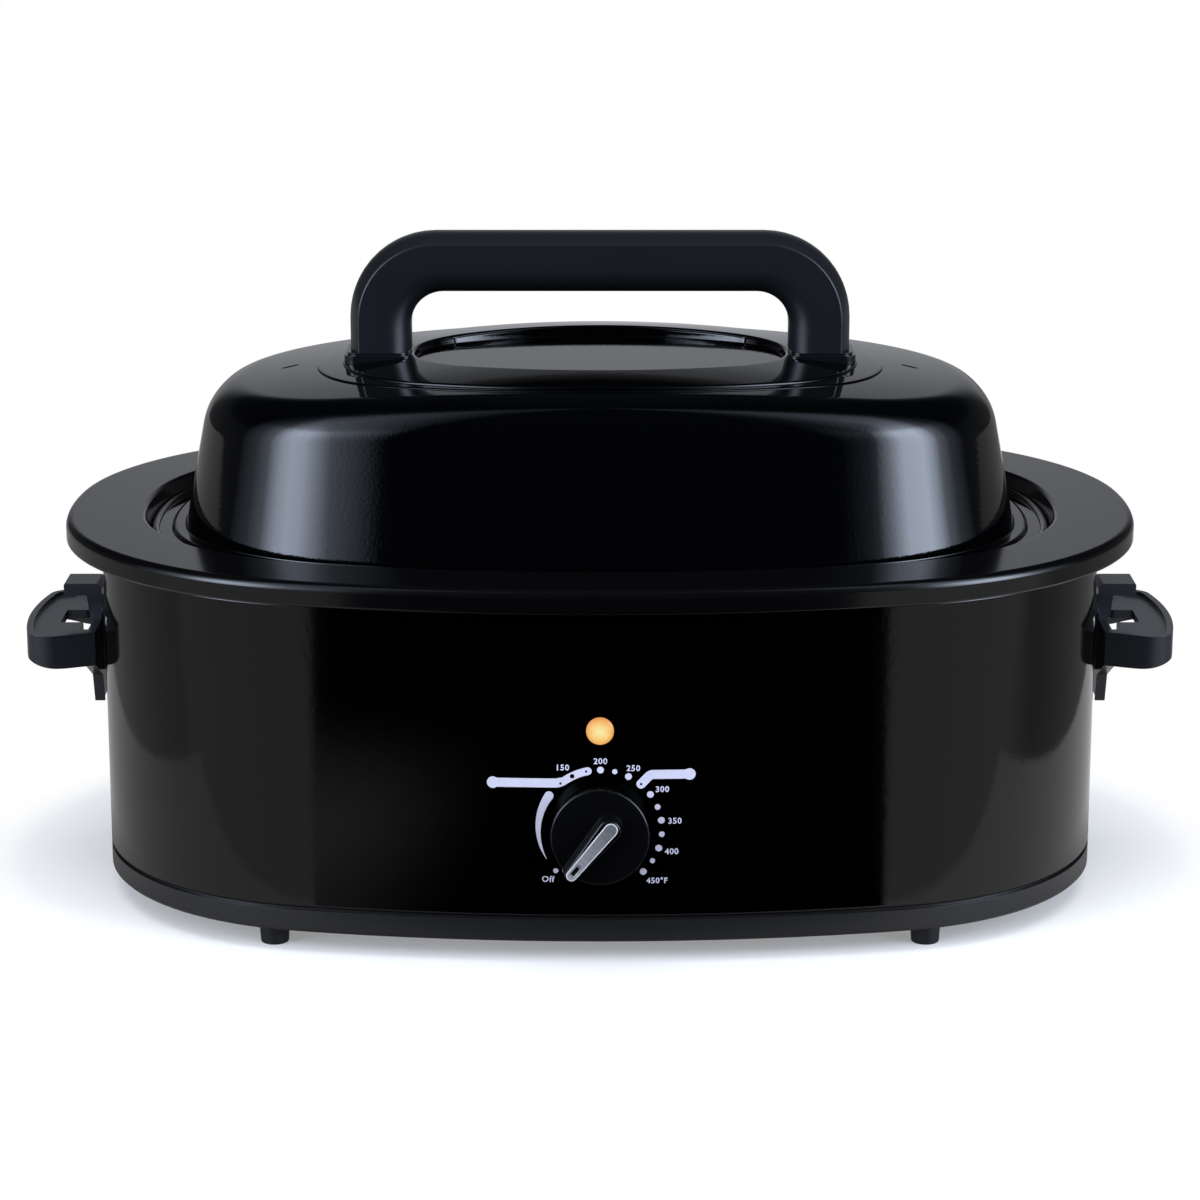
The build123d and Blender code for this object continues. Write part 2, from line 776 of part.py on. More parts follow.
slot_corner_radius = 3.0
side_screw_length = 10.0

with BuildPart() as side_handle_right:
    with BuildSketch(Plane.XY.offset(handle_bottom)) as grip_outline:
        with BuildLine():
            Polyline(
                (handle_shoulder_x, -side_handle_half_width),
                (plate_inner_x, -side_handle_root_half_width),
                (plate_inner_x, side_handle_root_half_width),
                (handle_shoulder_x, side_handle_half_width),
            )
            ThreePointArc(
                (handle_shoulder_x, side_handle_half_width),
                (handle_x, 0),
                (handle_shoulder_x, -side_handle_half_width),
            )
        make_face()
        fillet(grip_outline.vertices().group_by(Axis.X)[-1], handle_corner_radius)
    extrude(amount=side_handle_height)
    with BuildSketch(Plane.XY.offset(web_top)) as dish:
        offset(grip_outline.sketch_local.face(), amount=-side_handle_rim)
    extrude(amount=side_handle_web_drop, mode=Mode.SUBTRACT)
    underside = dish.sketch.moved(Location((0, 0, handle_bottom - web_top)))
    extrude(underside, amount=web_bottom - handle_bottom, mode=Mode.SUBTRACT)
    with BuildSketch(Plane.XZ):
        with BuildLine():
            TangentArc(
                (handle_underside_start, handle_bottom),
                (handle_x, handle_bottom + side_handle_tip_rise),
                tangent=(1, 0),
            )
            Polyline(
                (handle_x, handle_bottom + side_handle_tip_rise),
                (handle_x, handle_bottom),
                (handle_underside_start, handle_bottom),
            )
        make_face()
    extrude(amount=side_handle_half_width, both=True, mode=Mode.SUBTRACT)
    with BuildSketch(Plane.XY.offset(web_bottom)) as slot:
        with Locations((plate_outer_x, 0)):
            Rectangle(2 * slot_bar_width, 2 * slot_bar_half_length)
            Rectangle(2 * (wall_x + slot_projection - plate_outer_x), 2 * slot_half_width)
        stem = slot.vertices().filter_by_position(Axis.Y, -slot_half_width, slot_half_width)
        fillet(stem.group_by(Axis.X)[-2], slot_corner_radius)
    extrude(amount=side_handle_web, mode=Mode.SUBTRACT)
    with BuildSketch(Plane.YZ.offset(plate_inner_x)):
        with BuildLine():
            Polyline(
                (0, wall_plate_bottom),
                (leg_half_width, wall_plate_bottom),
                (wall_plate_half_width, leg_flare_z),
                (side_handle_root_half_width, handle_bottom),
                (side_handle_root_half_width, web_top),
                (wall_plate_half_width, web_top),
                (hook_half_width, pad_top),
                (hook_half_width, wall_plate_top),
                (0, wall_plate_top),
            )
            mirror(about=Plane.YZ)
        make_face()
    extrude(amount=wall_plate_thickness)
    with BuildSketch(Plane.XZ):
        Polygon(
            (plate_inner_x, web_bottom),
            (plate_inner_x, wall_plate_top),
            (plate_inner_x + hook_slope, hook_top),
            (hook_x, hook_top),
            (hook_x, hook_top - hook_height),
            (plate_outer_x + hook_slope, hook_top - hook_height),
            (plate_outer_x, web_bottom),
            align=None,
        )
    extrude(amount=hook_half_width, both=True)
    fillet(side_handle_right.edges().filter_by(Axis.Y).group_by(Axis.Z)[-1].sort_by(Axis.X)[-1], hook_edge)
    with BuildSketch(Plane.XZ):
        Polygon(
            (plate_outer_x, handle_bottom),
            (plate_outer_x + gusset_run, handle_bottom),
            (plate_outer_x, handle_bottom - gusset_drop),
            align=None,
        )
    extrude(amount=wall_plate_half_width, both=True)
    with BuildSketch(Plane.XY.offset(wall_plate_bottom)):
        with Locations((plate_inner_x, 0)):
            Rectangle(2 * leg_step_depth, 2 * leg_half_width)
    extrude(amount=leg_step_height, mode=Mode.SUBTRACT)
    with BuildSketch(Plane.YZ.offset(wall_x)):
        with Locations((0, (pad_bottom + pad_top) / 2)):
            Rectangle(2 * pad_half_width, pad_top - pad_bottom)
    extrude(amount=wall_plate_gap)
    add_discs(
        Plane.YZ.offset(wall_x),
        side_screw_spots,
        screw_radius + screw_clearance,
        side_screw_length - shell_sheet - seat_gap + screw_end_gap,
        mode=Mode.SUBTRACT,
    )
finish(side_handle_right, "side_handle_right")

with BuildPart() as side_handle_left:
    mirror(side_handle_right.part, about=Plane.YZ)
finish(side_handle_left, "side_handle_left")

with BuildPart() as side_handle_screws:
    add_screws(Plane.YZ.offset(wall_x - shell_sheet - seat_gap), side_screw_spots, side_screw_length)
    mirror(about=Plane.YZ)
finish(side_handle_screws, "side_handle_screws")

# ---------------------------------------------------------------- roasting pan
rim_bend = 3.5
lip_curl = 2.5
lip_curl_radius = 1.6
land_bend = 2.5
step_bend = 2.0
ledge_bend = 5.0
pan_floor_bend = 22.0
pan_floor_lap = 3.0
pan_floor_inset = pan_wall_inset + pan_draft + pan_floor_bend + pan_floor_lap

with BuildPart() as roasting_pan:
    press_sheet(
        rim,
        [
            (rim_x(lip_curl), rim_top - rim_lip),
            (rim_x(0), rim_top - rim_lip),
            (rim_x(0), rim_top),
            (rim_x(rim_land_inset), rim_top),
            (rim_x(rim_step_inset), ledge_top),
            (rim_x(pan_wall_inset), ledge_top),
            (rim_x(pan_wall_inset + pan_draft), pan_floor_top),
            (rim_x(pan_floor_inset), pan_floor_top),
        ],
        [lip_curl_radius, rim_bend, land_bend, step_bend, ledge_bend, pan_floor_bend],
        pan_sheet,
    )
    with BuildSketch(Plane.XY.offset(pan_floor_top - pan_sheet)):
        draw_oval(rim, pan_floor_inset)
    extrude(amount=pan_sheet)
finish(roasting_pan, "roasting_pan")

# ---------------------------------------------------------------- wire rack
rack_inset = 84.0
rack_height = 10.0
frame_wire = 2.0
cross_wire = 1.5
weld = 0.5
cross_pitch = 40.0
cross_count = 9
rail_pitch = 80.0
rack_handle_x = 180.0
rack_handle_half_width = 42.0
rack_handle_top = 84.0
rack_handle_bend = 12.0
rack_z = pan_floor_top + rack_height
rack_foot = pan_floor_top + seat_gap
cross_z = rack_z + frame_wire + cross_wire - weld
rail_z = cross_z - 2 * cross_wire + weld

with BuildPart() as roasting_rack:
    with BuildSketch(Plane.XZ.offset(-rim.half_depth)):
        with Locations((0, cross_z)):
            with GridLocations(cross_pitch, 1, cross_count, 1):
                Circle(cross_wire)
    extrude(amount=2 * rim.half_depth)
    with BuildSketch(Plane.YZ.offset(-rim.half_length)):
        with Locations((0, rail_z)):
            with GridLocations(rail_pitch, 1, 2, 1):
                Circle(cross_wire)
    extrude(amount=2 * rim.half_length)
    with BuildSketch():
        draw_oval(rim, rack_inset)
    extrude(amount=rim_top, mode=Mode.INTERSECT)
    with BuildSketch(Plane.XZ) as frame_section:
        with Locations((rim_x(rack_inset), rack_z)):
            Circle(frame_wire)
    with BuildLine() as frame_path:
        trace_oval(rim, rack_inset)
    sweep(frame_section.sketch, path=frame_path.wire())
    for end in (-1, 1):
        with BuildLine(Plane.YZ.offset(end * rack_handle_x)) as bail:
            FilletPolyline(
                (-rack_handle_half_width, rack_foot),
                (-rack_handle_half_width, rack_handle_top),
                (rack_handle_half_width, rack_handle_top),
                (rack_handle_half_width, rack_foot),
                radius=rack_handle_bend,
            )
        with BuildSketch(Plane(bail.wire() @ 0, z_dir=bail.wire() % 0)) as bail_section:
            Circle(frame_wire)
        sweep(bail_section.sketch, path=bail.wire())
finish(roasting_rack, "roasting_rack")

# ---------------------------------------------------------------- lid
panel_edge = 1.6
flange_step_width = 6.0
flange_step_run = 2.0
flange_step_bend = 1.2
bead_radius = 1.2  # rolled edge of the flange
bead_lift = 0.3
lid_screw_spots = [(-lid_screw_x, 0), (lid_screw_x, 0)]


def domed_block(oval, inset, lean, foot, top):
    """A block with the oval's plan at its foot, walls that lean in and a domed top."""
    with BuildPart() as block:
        with BuildSketch(Plane.XY.offset(foot)):
            draw_oval(oval, inset)
        with BuildSketch(Plane.XY.offset(top)):
            draw_oval(oval, inset + (top - foot) * tan(radians(lean)))
        loft(ruled=True)
        with Locations((0, 0, top - dome_radius)):
            Sphere(dome_radius, mode=Mode.INTERSECT)
    return block.part


def lid_form(sheet):
    """The lid's form above its flange: its outside, or with the sheet's thickness the hollow inside."""
    crown_top = dome_top - panel_rise - sheet
    crown = domed_block(rim, lid_wall_inset + sheet, lid_wall_lean, lid_wall_foot, crown_top)
    step = domed_block(collar, sheet, 0, recess_floor - recess_depth, crown_top + collar_rise)
    panel = domed_block(platform, sheet, 0, recess_floor - recess_depth, dome_top - sheet)
    with BuildPart() as form:
        add(crown)
        fillet(form.faces().sort_by(Axis.Z)[-1].edges(), shoulder_radius - sheet)
        add(step)
        add(panel)
        fillet(form.faces().sort_by(Axis.Z)[-1].edges(), panel_edge)
        for inset, floor in ((recess_ledge, recess_floor), (0, recess_floor + recess_depth / 2)):
            with BuildSketch(Plane.XY.offset(floor - sheet)):
                draw_oval(recess, inset - sheet)
            extrude(amount=2 * recess_depth, mode=Mode.SUBTRACT)
    return form.part


lid_outside = lid_form(0)
lid_inside = lid_form(lid_sheet)

with BuildPart() as lid:
    add(lid_outside)
    add(lid_inside, mode=Mode.SUBTRACT)
    bead_x = rim_x(lid_flange_inset) - bead_radius
    press_sheet(
        rim,
        [
            (bead_x, lid_flange_top),
            (rim_x(lid_wall_inset) + flange_step_width + flange_step_run, lid_flange_top),
            (rim_x(lid_wall_inset) + flange_step_width, lid_wall_foot),
            (rim_x(lid_wall_inset + lid_sheet), lid_wall_foot),
        ],
        flange_step_bend,
        lid_sheet,
    )
    with BuildSketch(Plane.XZ) as bead:
        with Locations((bead_x, ledge_top + bead_radius + bead_lift)):
            Circle(bead_radius)
    run_round(rim, bead)
    with BuildSketch(Plane.XY.offset(lid_wall_foot)):
        with Locations((-vent_slit_x, vent_slit_y), (vent_slit_x, vent_slit_y)):
            SlotOverall(vent_slit_length, vent_slit_width, rotation=90)
    extrude(amount=dome_top, mode=Mode.SUBTRACT)
    add_discs(
        Plane.XY.offset(lid_wall_foot),
        lid_screw_spots,
        screw_radius + screw_clearance,
        dome_top - lid_wall_foot,
        mode=Mode.SUBTRACT,
    )
finish(lid, "lid")

# ---------------------------------------------------------------- lid handle, its gaskets and its fixings
handle_bar_bottom = lid_handle_top - lid_handle_bar
handle_inner_x = lid_handle_half_span - lid_handle_leg
lid_screw_bite = 15.0
crown_overlap = 5.0  # how much deeper than the leg the crowned outer form reaches

with BuildPart() as lid_handle:
    with BuildSketch(Plane.XZ) as arch:
        with BuildLine():
            Polyline(
                (lid_handle_half_span, lid_handle_seat),
                (lid_handle_half_span, lid_handle_top),
                (-lid_handle_half_span, lid_handle_top),
                (-lid_handle_half_span, lid_handle_seat),
                close=True,
            )
        make_face()
        fillet(arch.vertices().group_by(Axis.Y)[-1], lid_handle_outer_radius)
    extrude(amount=lid_handle_depth / 2, both=True)
    with BuildSketch(Plane.XZ) as opening:
        with BuildLine():
            Polyline(
                (handle_inner_x, lid_handle_seat),
                (handle_inner_x, handle_bar_bottom),
                (-handle_inner_x, handle_bar_bottom),
                (-handle_inner_x, lid_handle_seat),
                close=True,
            )
        make_face()
        fillet(opening.vertices().group_by(Axis.Y)[-1], lid_handle_inner_radius)
    extrude(amount=lid_handle_depth / 2, both=True, mode=Mode.SUBTRACT)
    grip_edges = lid_handle.edges(Select.LAST).filter_by(Plane.XZ)
    fillet(grip_edges - grip_edges.group_by(Axis.Z)[0], lid_handle_grip_radius)
    with BuildLine(Plane.XZ) as outer_line:
        FilletPolyline(
            (lid_handle_half_span, lid_handle_seat),
            (lid_handle_half_span, lid_handle_top),
            (-lid_handle_half_span, lid_handle_top),
            (-lid_handle_half_span, lid_handle_seat),
            radius=lid_handle_outer_radius,
        )
    with BuildSketch(Plane.XY.offset(lid_handle_seat)) as crown_section:
        with BuildLine():
            ThreePointArc(
                (lid_handle_half_span - lid_handle_crown, -lid_handle_depth / 2),
                (lid_handle_half_span, 0),
                (lid_handle_half_span - lid_handle_crown, lid_handle_depth / 2),
            )
            Polyline(
                (lid_handle_half_span - lid_handle_crown, lid_handle_depth / 2),
                (handle_inner_x - crown_overlap, lid_handle_depth / 2),
                (handle_inner_x - crown_overlap, -lid_handle_depth / 2),
                (lid_handle_half_span - lid_handle_crown, -lid_handle_depth / 2),
            )
        make_face()
    sweep(crown_section.sketch, path=outer_line.wire(), mode=Mode.INTERSECT)
    add_discs(
        Plane.XY.offset(lid_handle_seat),
        lid_screw_spots,
        screw_radius + screw_clearance,
        lid_screw_bite,
        mode=Mode.SUBTRACT,
    )
finish(lid_handle, "lid_handle")

gasket_margin = 2.5
gasket_lip = 1.0
gasket_groove = 1.4  # height of the narrower step below the handle
gasket_corner = 6.0
gasket_clearance = 0.1
gasket_foot = recess_floor
with BuildPart() as lid_handle_gaskets:
    for margin, top in ((gasket_margin, lid_handle_seat - gasket_groove), (gasket_lip, lid_handle_seat)):
        with BuildSketch(Plane.XY.offset(gasket_foot)):
            with Locations(*lid_screw_spots):
                RectangleRounded(lid_handle_leg + 2 * margin, lid_handle_depth + 2 * margin, gasket_corner)
        extrude(amount=top - gasket_foot)
    with Locations((0, 0, dome_top - dome_radius)):
        Sphere(dome_radius + gasket_clearance, mode=Mode.SUBTRACT)
    add_discs(
        Plane.XY.offset(gasket_foot),
        lid_screw_spots,
        screw_radius + screw_clearance,
        lid_handle_seat - gasket_foot,
        mode=Mode.SUBTRACT,
    )
finish(lid_handle_gaskets, "lid_handle_gaskets")

washer_radius = 7.0
washer_thickness = 1.2
washer_top = dome_top - lid_sheet - dome_drop(lid_screw_x + washer_radius)
washer_bottom = washer_top - washer_thickness
with BuildPart() as lid_handle_washers:
    with BuildSketch(Plane.XY.offset(washer_bottom)):
        with Locations(*lid_screw_spots):
            Circle(washer_radius)
            Circle(screw_radius + screw_clearance, mode=Mode.SUBTRACT)
    extrude(amount=washer_thickness)
finish(lid_handle_washers, "lid_handle_washers")

with BuildPart() as lid_handle_screws:
    screw_end = lid_handle_seat + lid_screw_bite - screw_end_gap
    add_screws(Plane.XY.offset(washer_bottom), lid_screw_spots, screw_end - washer_bottom)
finish(lid_handle_screws, "lid_handle_screws")
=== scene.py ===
"""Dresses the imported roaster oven: enamelled steel, moulded plastic, dial print, lamp and studio.

Sizes are millimetres in the row frame (X right, -Y front, Z up).  They become metres where a mesh is made.
"""

from math import atan2, ceil, cos, hypot, pi, radians, sin, sqrt, tan

import bmesh
import bpy
from mathutils import Matrix, Vector


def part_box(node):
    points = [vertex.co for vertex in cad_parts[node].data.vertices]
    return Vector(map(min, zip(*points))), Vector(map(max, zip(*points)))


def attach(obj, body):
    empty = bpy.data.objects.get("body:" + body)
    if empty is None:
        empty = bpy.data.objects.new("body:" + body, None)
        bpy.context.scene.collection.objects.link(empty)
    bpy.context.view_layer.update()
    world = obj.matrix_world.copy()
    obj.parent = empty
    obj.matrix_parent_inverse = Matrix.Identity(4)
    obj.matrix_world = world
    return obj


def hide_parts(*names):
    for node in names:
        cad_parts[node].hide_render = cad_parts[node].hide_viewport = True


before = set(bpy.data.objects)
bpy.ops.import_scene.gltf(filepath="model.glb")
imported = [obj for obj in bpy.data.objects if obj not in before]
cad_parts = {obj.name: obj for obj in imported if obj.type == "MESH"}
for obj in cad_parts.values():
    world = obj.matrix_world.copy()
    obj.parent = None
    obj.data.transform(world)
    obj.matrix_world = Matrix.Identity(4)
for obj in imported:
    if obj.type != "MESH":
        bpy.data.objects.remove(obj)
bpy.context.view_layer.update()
MM = 0.001


def node_box(node):
    """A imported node's lowest and highest corner, in millimetres."""
    low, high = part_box(node)
    return low / MM, high / MM


# ---------------------------------------------------------------- sizes read from the frame
pan_low, pan_high = node_box("roasting_pan")
shell_low, shell_high = node_box("outer_shell")
lid_low, lid_high = node_box("lid")
handle_low, handle_high = node_box("lid_handle")
lens_radius = node_box("indicator_lens")[1].x

# ---------------------------------------------------------------- sizes that the frame's boxes don't give
# Outlines: end, side and corner arcs, or half length and half depth
RIM_RADII = (300.0, 602.0, 170.0)
BODY_RADII = (900.0, 727.0, 133.0)
PANEL_SIZE = (134.0, 98.0)
EMBOSS_SIZE = (147.5, 101.5)
RECESS_SIZE = (97.5, 65.5)

# Shell and pan: insets are measured in from the outline
SHELL_SHEET = 1.0
SHELL_BEND = 2.0
SHELL_LOW_FLANGE = 10.0
SHELL_HIGH_FLANGE = 12.0
PAN_SHEET = 1.2
RIM_LIP = 12.0
RIM_CURL_INSET = 2.5
RIM_LIP_BEND = 1.6
RIM_ROLL = 4.2
RIM_WIDTH = 41.0
RIM_RISE = 9.8  # from the ledge that carries the lid up to the rim
RIM_BEND = 2.5
LEDGE_INSET = 44.5
LEDGE_BEND = 2.0
PAN_WALL_INSET = 58.0
PAN_WALL_BEND = 5.0
PAN_FOOT_INSET = 68.0
PAN_FOOT_BEND = 22.0
PAN_FLOOR_INSET = 93.0
PAN_FLOOR_SHARES = (0.75, 0.5, 0.25)

# Lid: outlines and heights are those of the sheet's inner face; the outer face lies LID_SKIN outside it
LID_SHEET = 1.0
LID_SKIN = 0.9
DOME_RADIUS = 1300.0
DOME_TOP = 275.2
PANEL_RISE = 2.6
PANEL_FALL = 0.9  # how far the panel drops under the dome towards its edge
PANEL_EDGE = 0.5
EMBOSS_RISE = 0.7
EMBOSS_EDGE = 0.34
RECESS_DEPTH = 7.0
RECESS_BEND = 1.2
RECESS_FLOOR_INSET = 4.6
RECESS_FOOT_INSET = 0.4
RECESS_WALL_START = 3.0
LIP_RISE = 0.3  # how far the lip of the well stands above the dome
LIP_RADIUS = 1.3
LID_WALL_INSET = 63.0
LID_WALL_LEAN = radians(11.0)
LID_STEP = 1.5
LID_STEP_WIDTH = 6.0
LID_STEP_SLOPE = 2.0
LID_FOOT_BEND = 2.2
LID_FLANGE_BEND = 1.2
LID_BEAD = 1.2
LID_BEAD_LIFT = 0.42  # middle of the bead above the flange, as a share of its radius
LID_BEAD_START = 200.0  # degrees
LID_BEAD_TURN = 340.0
LID_BEAD_STEPS = 14
FOOT_STRETCH = 8.0  # height of the wall's lowest stretch
SHOULDER_FRONT = 22.0  # rounding of the lid's shoulder along the long sides
SHOULDER_END = 27.0  # and at the ends

VENT_X = 163.0
VENT_Y = 5.0
VENT_LENGTH = 10.5
VENT_WIDTH = 2.4
VENT_TURN = radians(33.0)
VENT_LIFT = LID_SKIN + 0.1
VENT_POINTS = 24

DIAL_Z = 69.3
LAMP_Z = 119.4
LENS_RING_PITCH = 1.1
POINTER_ANGLE = radians(230.6)
POINTER_HEAD = -8.2  # middles of its round ends, along its length from the dial's axis
POINTER_TIP = 21.7
POINTER_HEAD_RADIUS = 3.4
POINTER_TIP_RADIUS = 2.6
POINTER_BEAD = 0.55
SLOT_AT = 18.9
SLOT_HALF_LENGTH = 2.3
SLOT_HALF_WIDTH = 0.95

BEND_STEP = radians(7.0)
INK_HEIGHT = 0.06
ARC_STEPS = (10, 34, 56, 34, 20, 34, 56, 34, 10)

ledge_top = pan_high.z - RIM_RISE
crown_top = DOME_TOP - PANEL_RISE
lid_flange_top = lid_low.z + LID_SHEET
lid_wall_foot = lid_flange_top + LID_STEP
foot_start = lid_wall_foot + FOOT_STRETCH


# ---------------------------------------------------------------- outlines
class Oval:
    """A plan outline of tangent arcs: two ends, two long sides and four corners."""

    def __init__(self, half_length, half_depth, end_radius, side_radius, corner_radius):
        end_x = half_length - end_radius
        side_y = half_depth - side_radius
        to_end = end_radius - corner_radius
        to_side = side_radius - corner_radius
        span = hypot(end_x, side_y)
        along = (to_end**2 - to_side**2 + span**2) / (2 * span)
        across = sqrt(to_end**2 - along**2)
        corner_x = end_x - (along * end_x + across * side_y) / span
        corner_y = (along * side_y - across * end_x) / span
        first = atan2(corner_y, corner_x - end_x)
        last = atan2(corner_y - side_y, corner_x)
        turn = last - first
        arcs = [
            (end_x, 0, end_radius, 0, first),
            (corner_x, corner_y, corner_radius, first, turn),
            (0, side_y, side_radius, last, pi - 2 * last),
            (-corner_x, corner_y, corner_radius, pi - last, turn),
            (-end_x, 0, end_radius, pi - first, 2 * first),
            (-corner_x, -corner_y, corner_radius, pi + first, turn),
            (0, -side_y, side_radius, pi + last, pi - 2 * last),
            (corner_x, -corner_y, corner_radius, 2 * pi - last, turn),
            (end_x, 0, end_radius, 2 * pi - first, first),
        ]
        self.stations = []  # (centre, radius, outward direction) at each step round the outline
        for (centre_x, centre_y, radius, start, sweep), steps in zip(arcs, ARC_STEPS):
            for step in range(steps):
                angle = start + sweep * step / steps
                self.stations.append((Vector((centre_x, centre_y)), radius, Vector((cos(angle), sin(angle)))))
        self.front_centre_y = -side_y
        self.side_radius = side_radius

    def spot(self, station, inset):
        """The point of the outline, moved in by inset, at one station."""
        centre, radius, outward = station
        return centre + outward * (radius - inset)

    def loop(self, inset, height):
        """Points round the outline; height is a number, or a function of x and y."""
        points = []
        for station in self.stations:
            x, y = self.spot(station, inset)
            points.append(Vector((x, y, height(x, y) if callable(height) else height)))
        return points

    def front_y(self, x):
        """Y of the front wall at x."""
        return self.front_centre_y - sqrt(self.side_radius**2 - x**2)


def plump_oval(half_length, half_depth):
    """A fuller outline than an ellipse of that size."""
    excess = half_length - half_depth
    end_radius = half_depth - excess / 6
    side_radius = half_length + 1.5 * excess
    return Oval(half_length, half_depth, end_radius, side_radius, 0.75 * half_depth)


rim = Oval(pan_high.x, pan_high.y, *RIM_RADII)
body = Oval(shell_high.x, shell_high.y, *BODY_RADII)
panel = plump_oval(*PANEL_SIZE)
emboss = plump_oval(*EMBOSS_SIZE)
recess = plump_oval(*RECESS_SIZE)


def rounded(points, radii):
    """A line through 2-D points with its inner corners rounded."""
    line = [Vector(points[0])]
    for before, corner, after, radius in zip(points, points[1:], points[2:], radii):
        corner = Vector(corner)
        back = (Vector(before) - corner).normalized()
        ahead = (Vector(after) - corner).normalized()
        half = back.angle(ahead) / 2
        centre = corner + (back + ahead).normalized() * radius / sin(half)
        start = corner + back * radius / tan(half) - centre
        end = corner + ahead * radius / tan(half) - centre
        turn = atan2(start.x * end.y - start.y * end.x, start.dot(end))
        steps = max(2, ceil(abs(turn) / BEND_STEP))
        for step in range(steps + 1):
            line.append(centre + Matrix.Rotation(turn * step / steps, 2) @ start)
    line.append(Vector(points[-1]))
    return line


# ---------------------------------------------------------------- meshes
SHARP_EDGE_LIMIT = 40.0  # degrees
SOFT_EDGE_LIMIT = 30.0
FLAT_LIMIT = radians(0.4)
WELD_REACH = 0.004


def new_mesh(name, points, faces, finish):
    """A smooth-shaded object, sharp where its faces meet at more than SHARP_EDGE_LIMIT."""
    mesh = bpy.data.meshes.new(name)
    mesh.from_pydata([Vector(point) * MM for point in points], [], faces)
    piece = bpy.data.objects.new(name, mesh)
    bpy.context.scene.collection.objects.link(piece)
    shade(mesh, SHARP_EDGE_LIMIT)
    mesh.materials.append(finish)
    return piece


def shade(mesh, sharp):
    """Smooth faces, and edges sharper than an angle in degrees marked sharp."""
    form = bmesh.new()
    form.from_mesh(mesh)
    for face in form.faces:
        face.smooth = True
    for edge in form.edges:
        edge.smooth = edge.is_manifold and edge.calc_face_angle() < radians(sharp)
    form.to_mesh(mesh)
    form.free()


def skin(name, loops, finish, cap_first=False, cap_last=False):
    """A surface over successive loops of equally many points."""
    count = len(loops[0])
    points = [point for loop in loops for point in loop]
    faces = []
    for row in range(0, (len(loops) - 1) * count, count):
        for step in range(count):
            turn = (step + 1) % count
            faces.append((row + step, row + turn, row + count + turn, row + count + step))
    for wanted, row, order in ((cap_first, 0, -1), (cap_last, len(loops) - 1, 1)):
        if wanted:
            middle = len(points)
            points.append(sum(loops[row], Vector()) / count)
            for step in range(count):
                edge = (row * count + step, row * count + (step + 1) % count)
                faces.append((*edge[::order], middle))
    return new_mesh(name, points, faces, finish)


def thicken(piece, sheet):
    """Gives a sheet its thickness, behind the side that its faces point to."""
    solid = piece.modifiers.new("sheet", "SOLIDIFY")
    solid.thickness = sheet * MM
    solid.offset = -1.0
    even_normals(piece)


def even_normals(piece):
    """Lets the large faces set the shading of the narrow bends beside them."""
    weighted = piece.modifiers.new("even", "WEIGHTED_NORMAL")
    weighted.keep_sharp = True


def settle(piece, body_name, slot, *nodes):
    """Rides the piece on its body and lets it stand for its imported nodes."""
    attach(piece, body_name)
    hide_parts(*nodes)


def soften(node, body_name, slot, finish, width):
    """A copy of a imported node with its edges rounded, standing for the node."""
    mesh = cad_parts[node].data.copy()
    mesh.name = node + "_soft"
    if "custom_normal" in mesh.attributes:
        mesh.attributes.remove(mesh.attributes["custom_normal"])
    form = bmesh.new()
    form.from_mesh(mesh)
    bmesh.ops.remove_doubles(form, verts=form.verts, dist=WELD_REACH * MM)
    bmesh.ops.dissolve_limit(form, angle_limit=FLAT_LIMIT, verts=form.verts, edges=form.edges)
    form.to_mesh(mesh)
    form.free()
    shade(mesh, SOFT_EDGE_LIMIT)
    mesh.materials.clear()
    mesh.materials.append(finish)
    piece = bpy.data.objects.new(node + "_soft", mesh)
    bpy.context.scene.collection.objects.link(piece)
    edge = piece.modifiers.new("edge", "BEVEL")
    edge.width = width * MM
    edge.segments = 3
    edge.limit_method = "ANGLE"
    edge.angle_limit = radians(SOFT_EDGE_LIMIT)
    edge.use_clamp_overlap = True
    edge.harden_normals = True
    settle(piece, body_name, slot, node)


# ---------------------------------------------------------------- shader groups
def new_group(name, inputs, outputs):
    """An empty shader group of float sockets: its inputs with their values, and its outputs."""
    group = bpy.data.node_groups.new(name, "ShaderNodeTree")
    for label, value in inputs:
        socket = group.interface.new_socket(label, in_out="INPUT", socket_type="NodeSocketFloat")
        socket.default_value = value
    for label in outputs:
        group.interface.new_socket(label, in_out="OUTPUT", socket_type="NodeSocketFloat")
    return group, group.nodes.new("NodeGroupInput"), group.nodes.new("NodeGroupOutput")


def noise(tree, vector, scale, detail):
    """A noise texture over a vector; scale is a socket or a number."""
    texture = tree.nodes.new("ShaderNodeTexNoise")
    texture.inputs["Detail"].default_value = detail
    tree.links.new(vector, texture.inputs["Vector"])
    if isinstance(scale, (int, float)):
        texture.inputs["Scale"].default_value = scale
    else:
        tree.links.new(scale, texture.inputs["Scale"])
    return texture.outputs["Fac"]


def math_node(tree, operation, *values, clamp=False):
    """A math node over sockets and numbers."""
    node = tree.nodes.new("ShaderNodeMath")
    node.operation = operation
    node.use_clamp = clamp
    for socket, value in zip(node.inputs, values):
        if isinstance(value, (int, float)):
            socket.default_value = value
        else:
            tree.links.new(value, socket)
    return node.outputs[0]


def length_of(tree, first, second):
    """Length of the vector with these two parts."""
    squares = math_node(tree, "MULTIPLY_ADD", first, first, math_node(tree, "MULTIPLY", second, second))
    return math_node(tree, "SQRT", squares)


def step_between(tree, value, low, high):
    """A smooth step from 0 at low to 1 at high."""
    ramp = tree.nodes.new("ShaderNodeMapRange")
    ramp.interpolation_type = "SMOOTHSTEP"
    tree.links.new(value, ramp.inputs["Value"])
    ramp.inputs["From Min"].default_value = low
    ramp.inputs["From Max"].default_value = high
    return ramp.outputs[0]


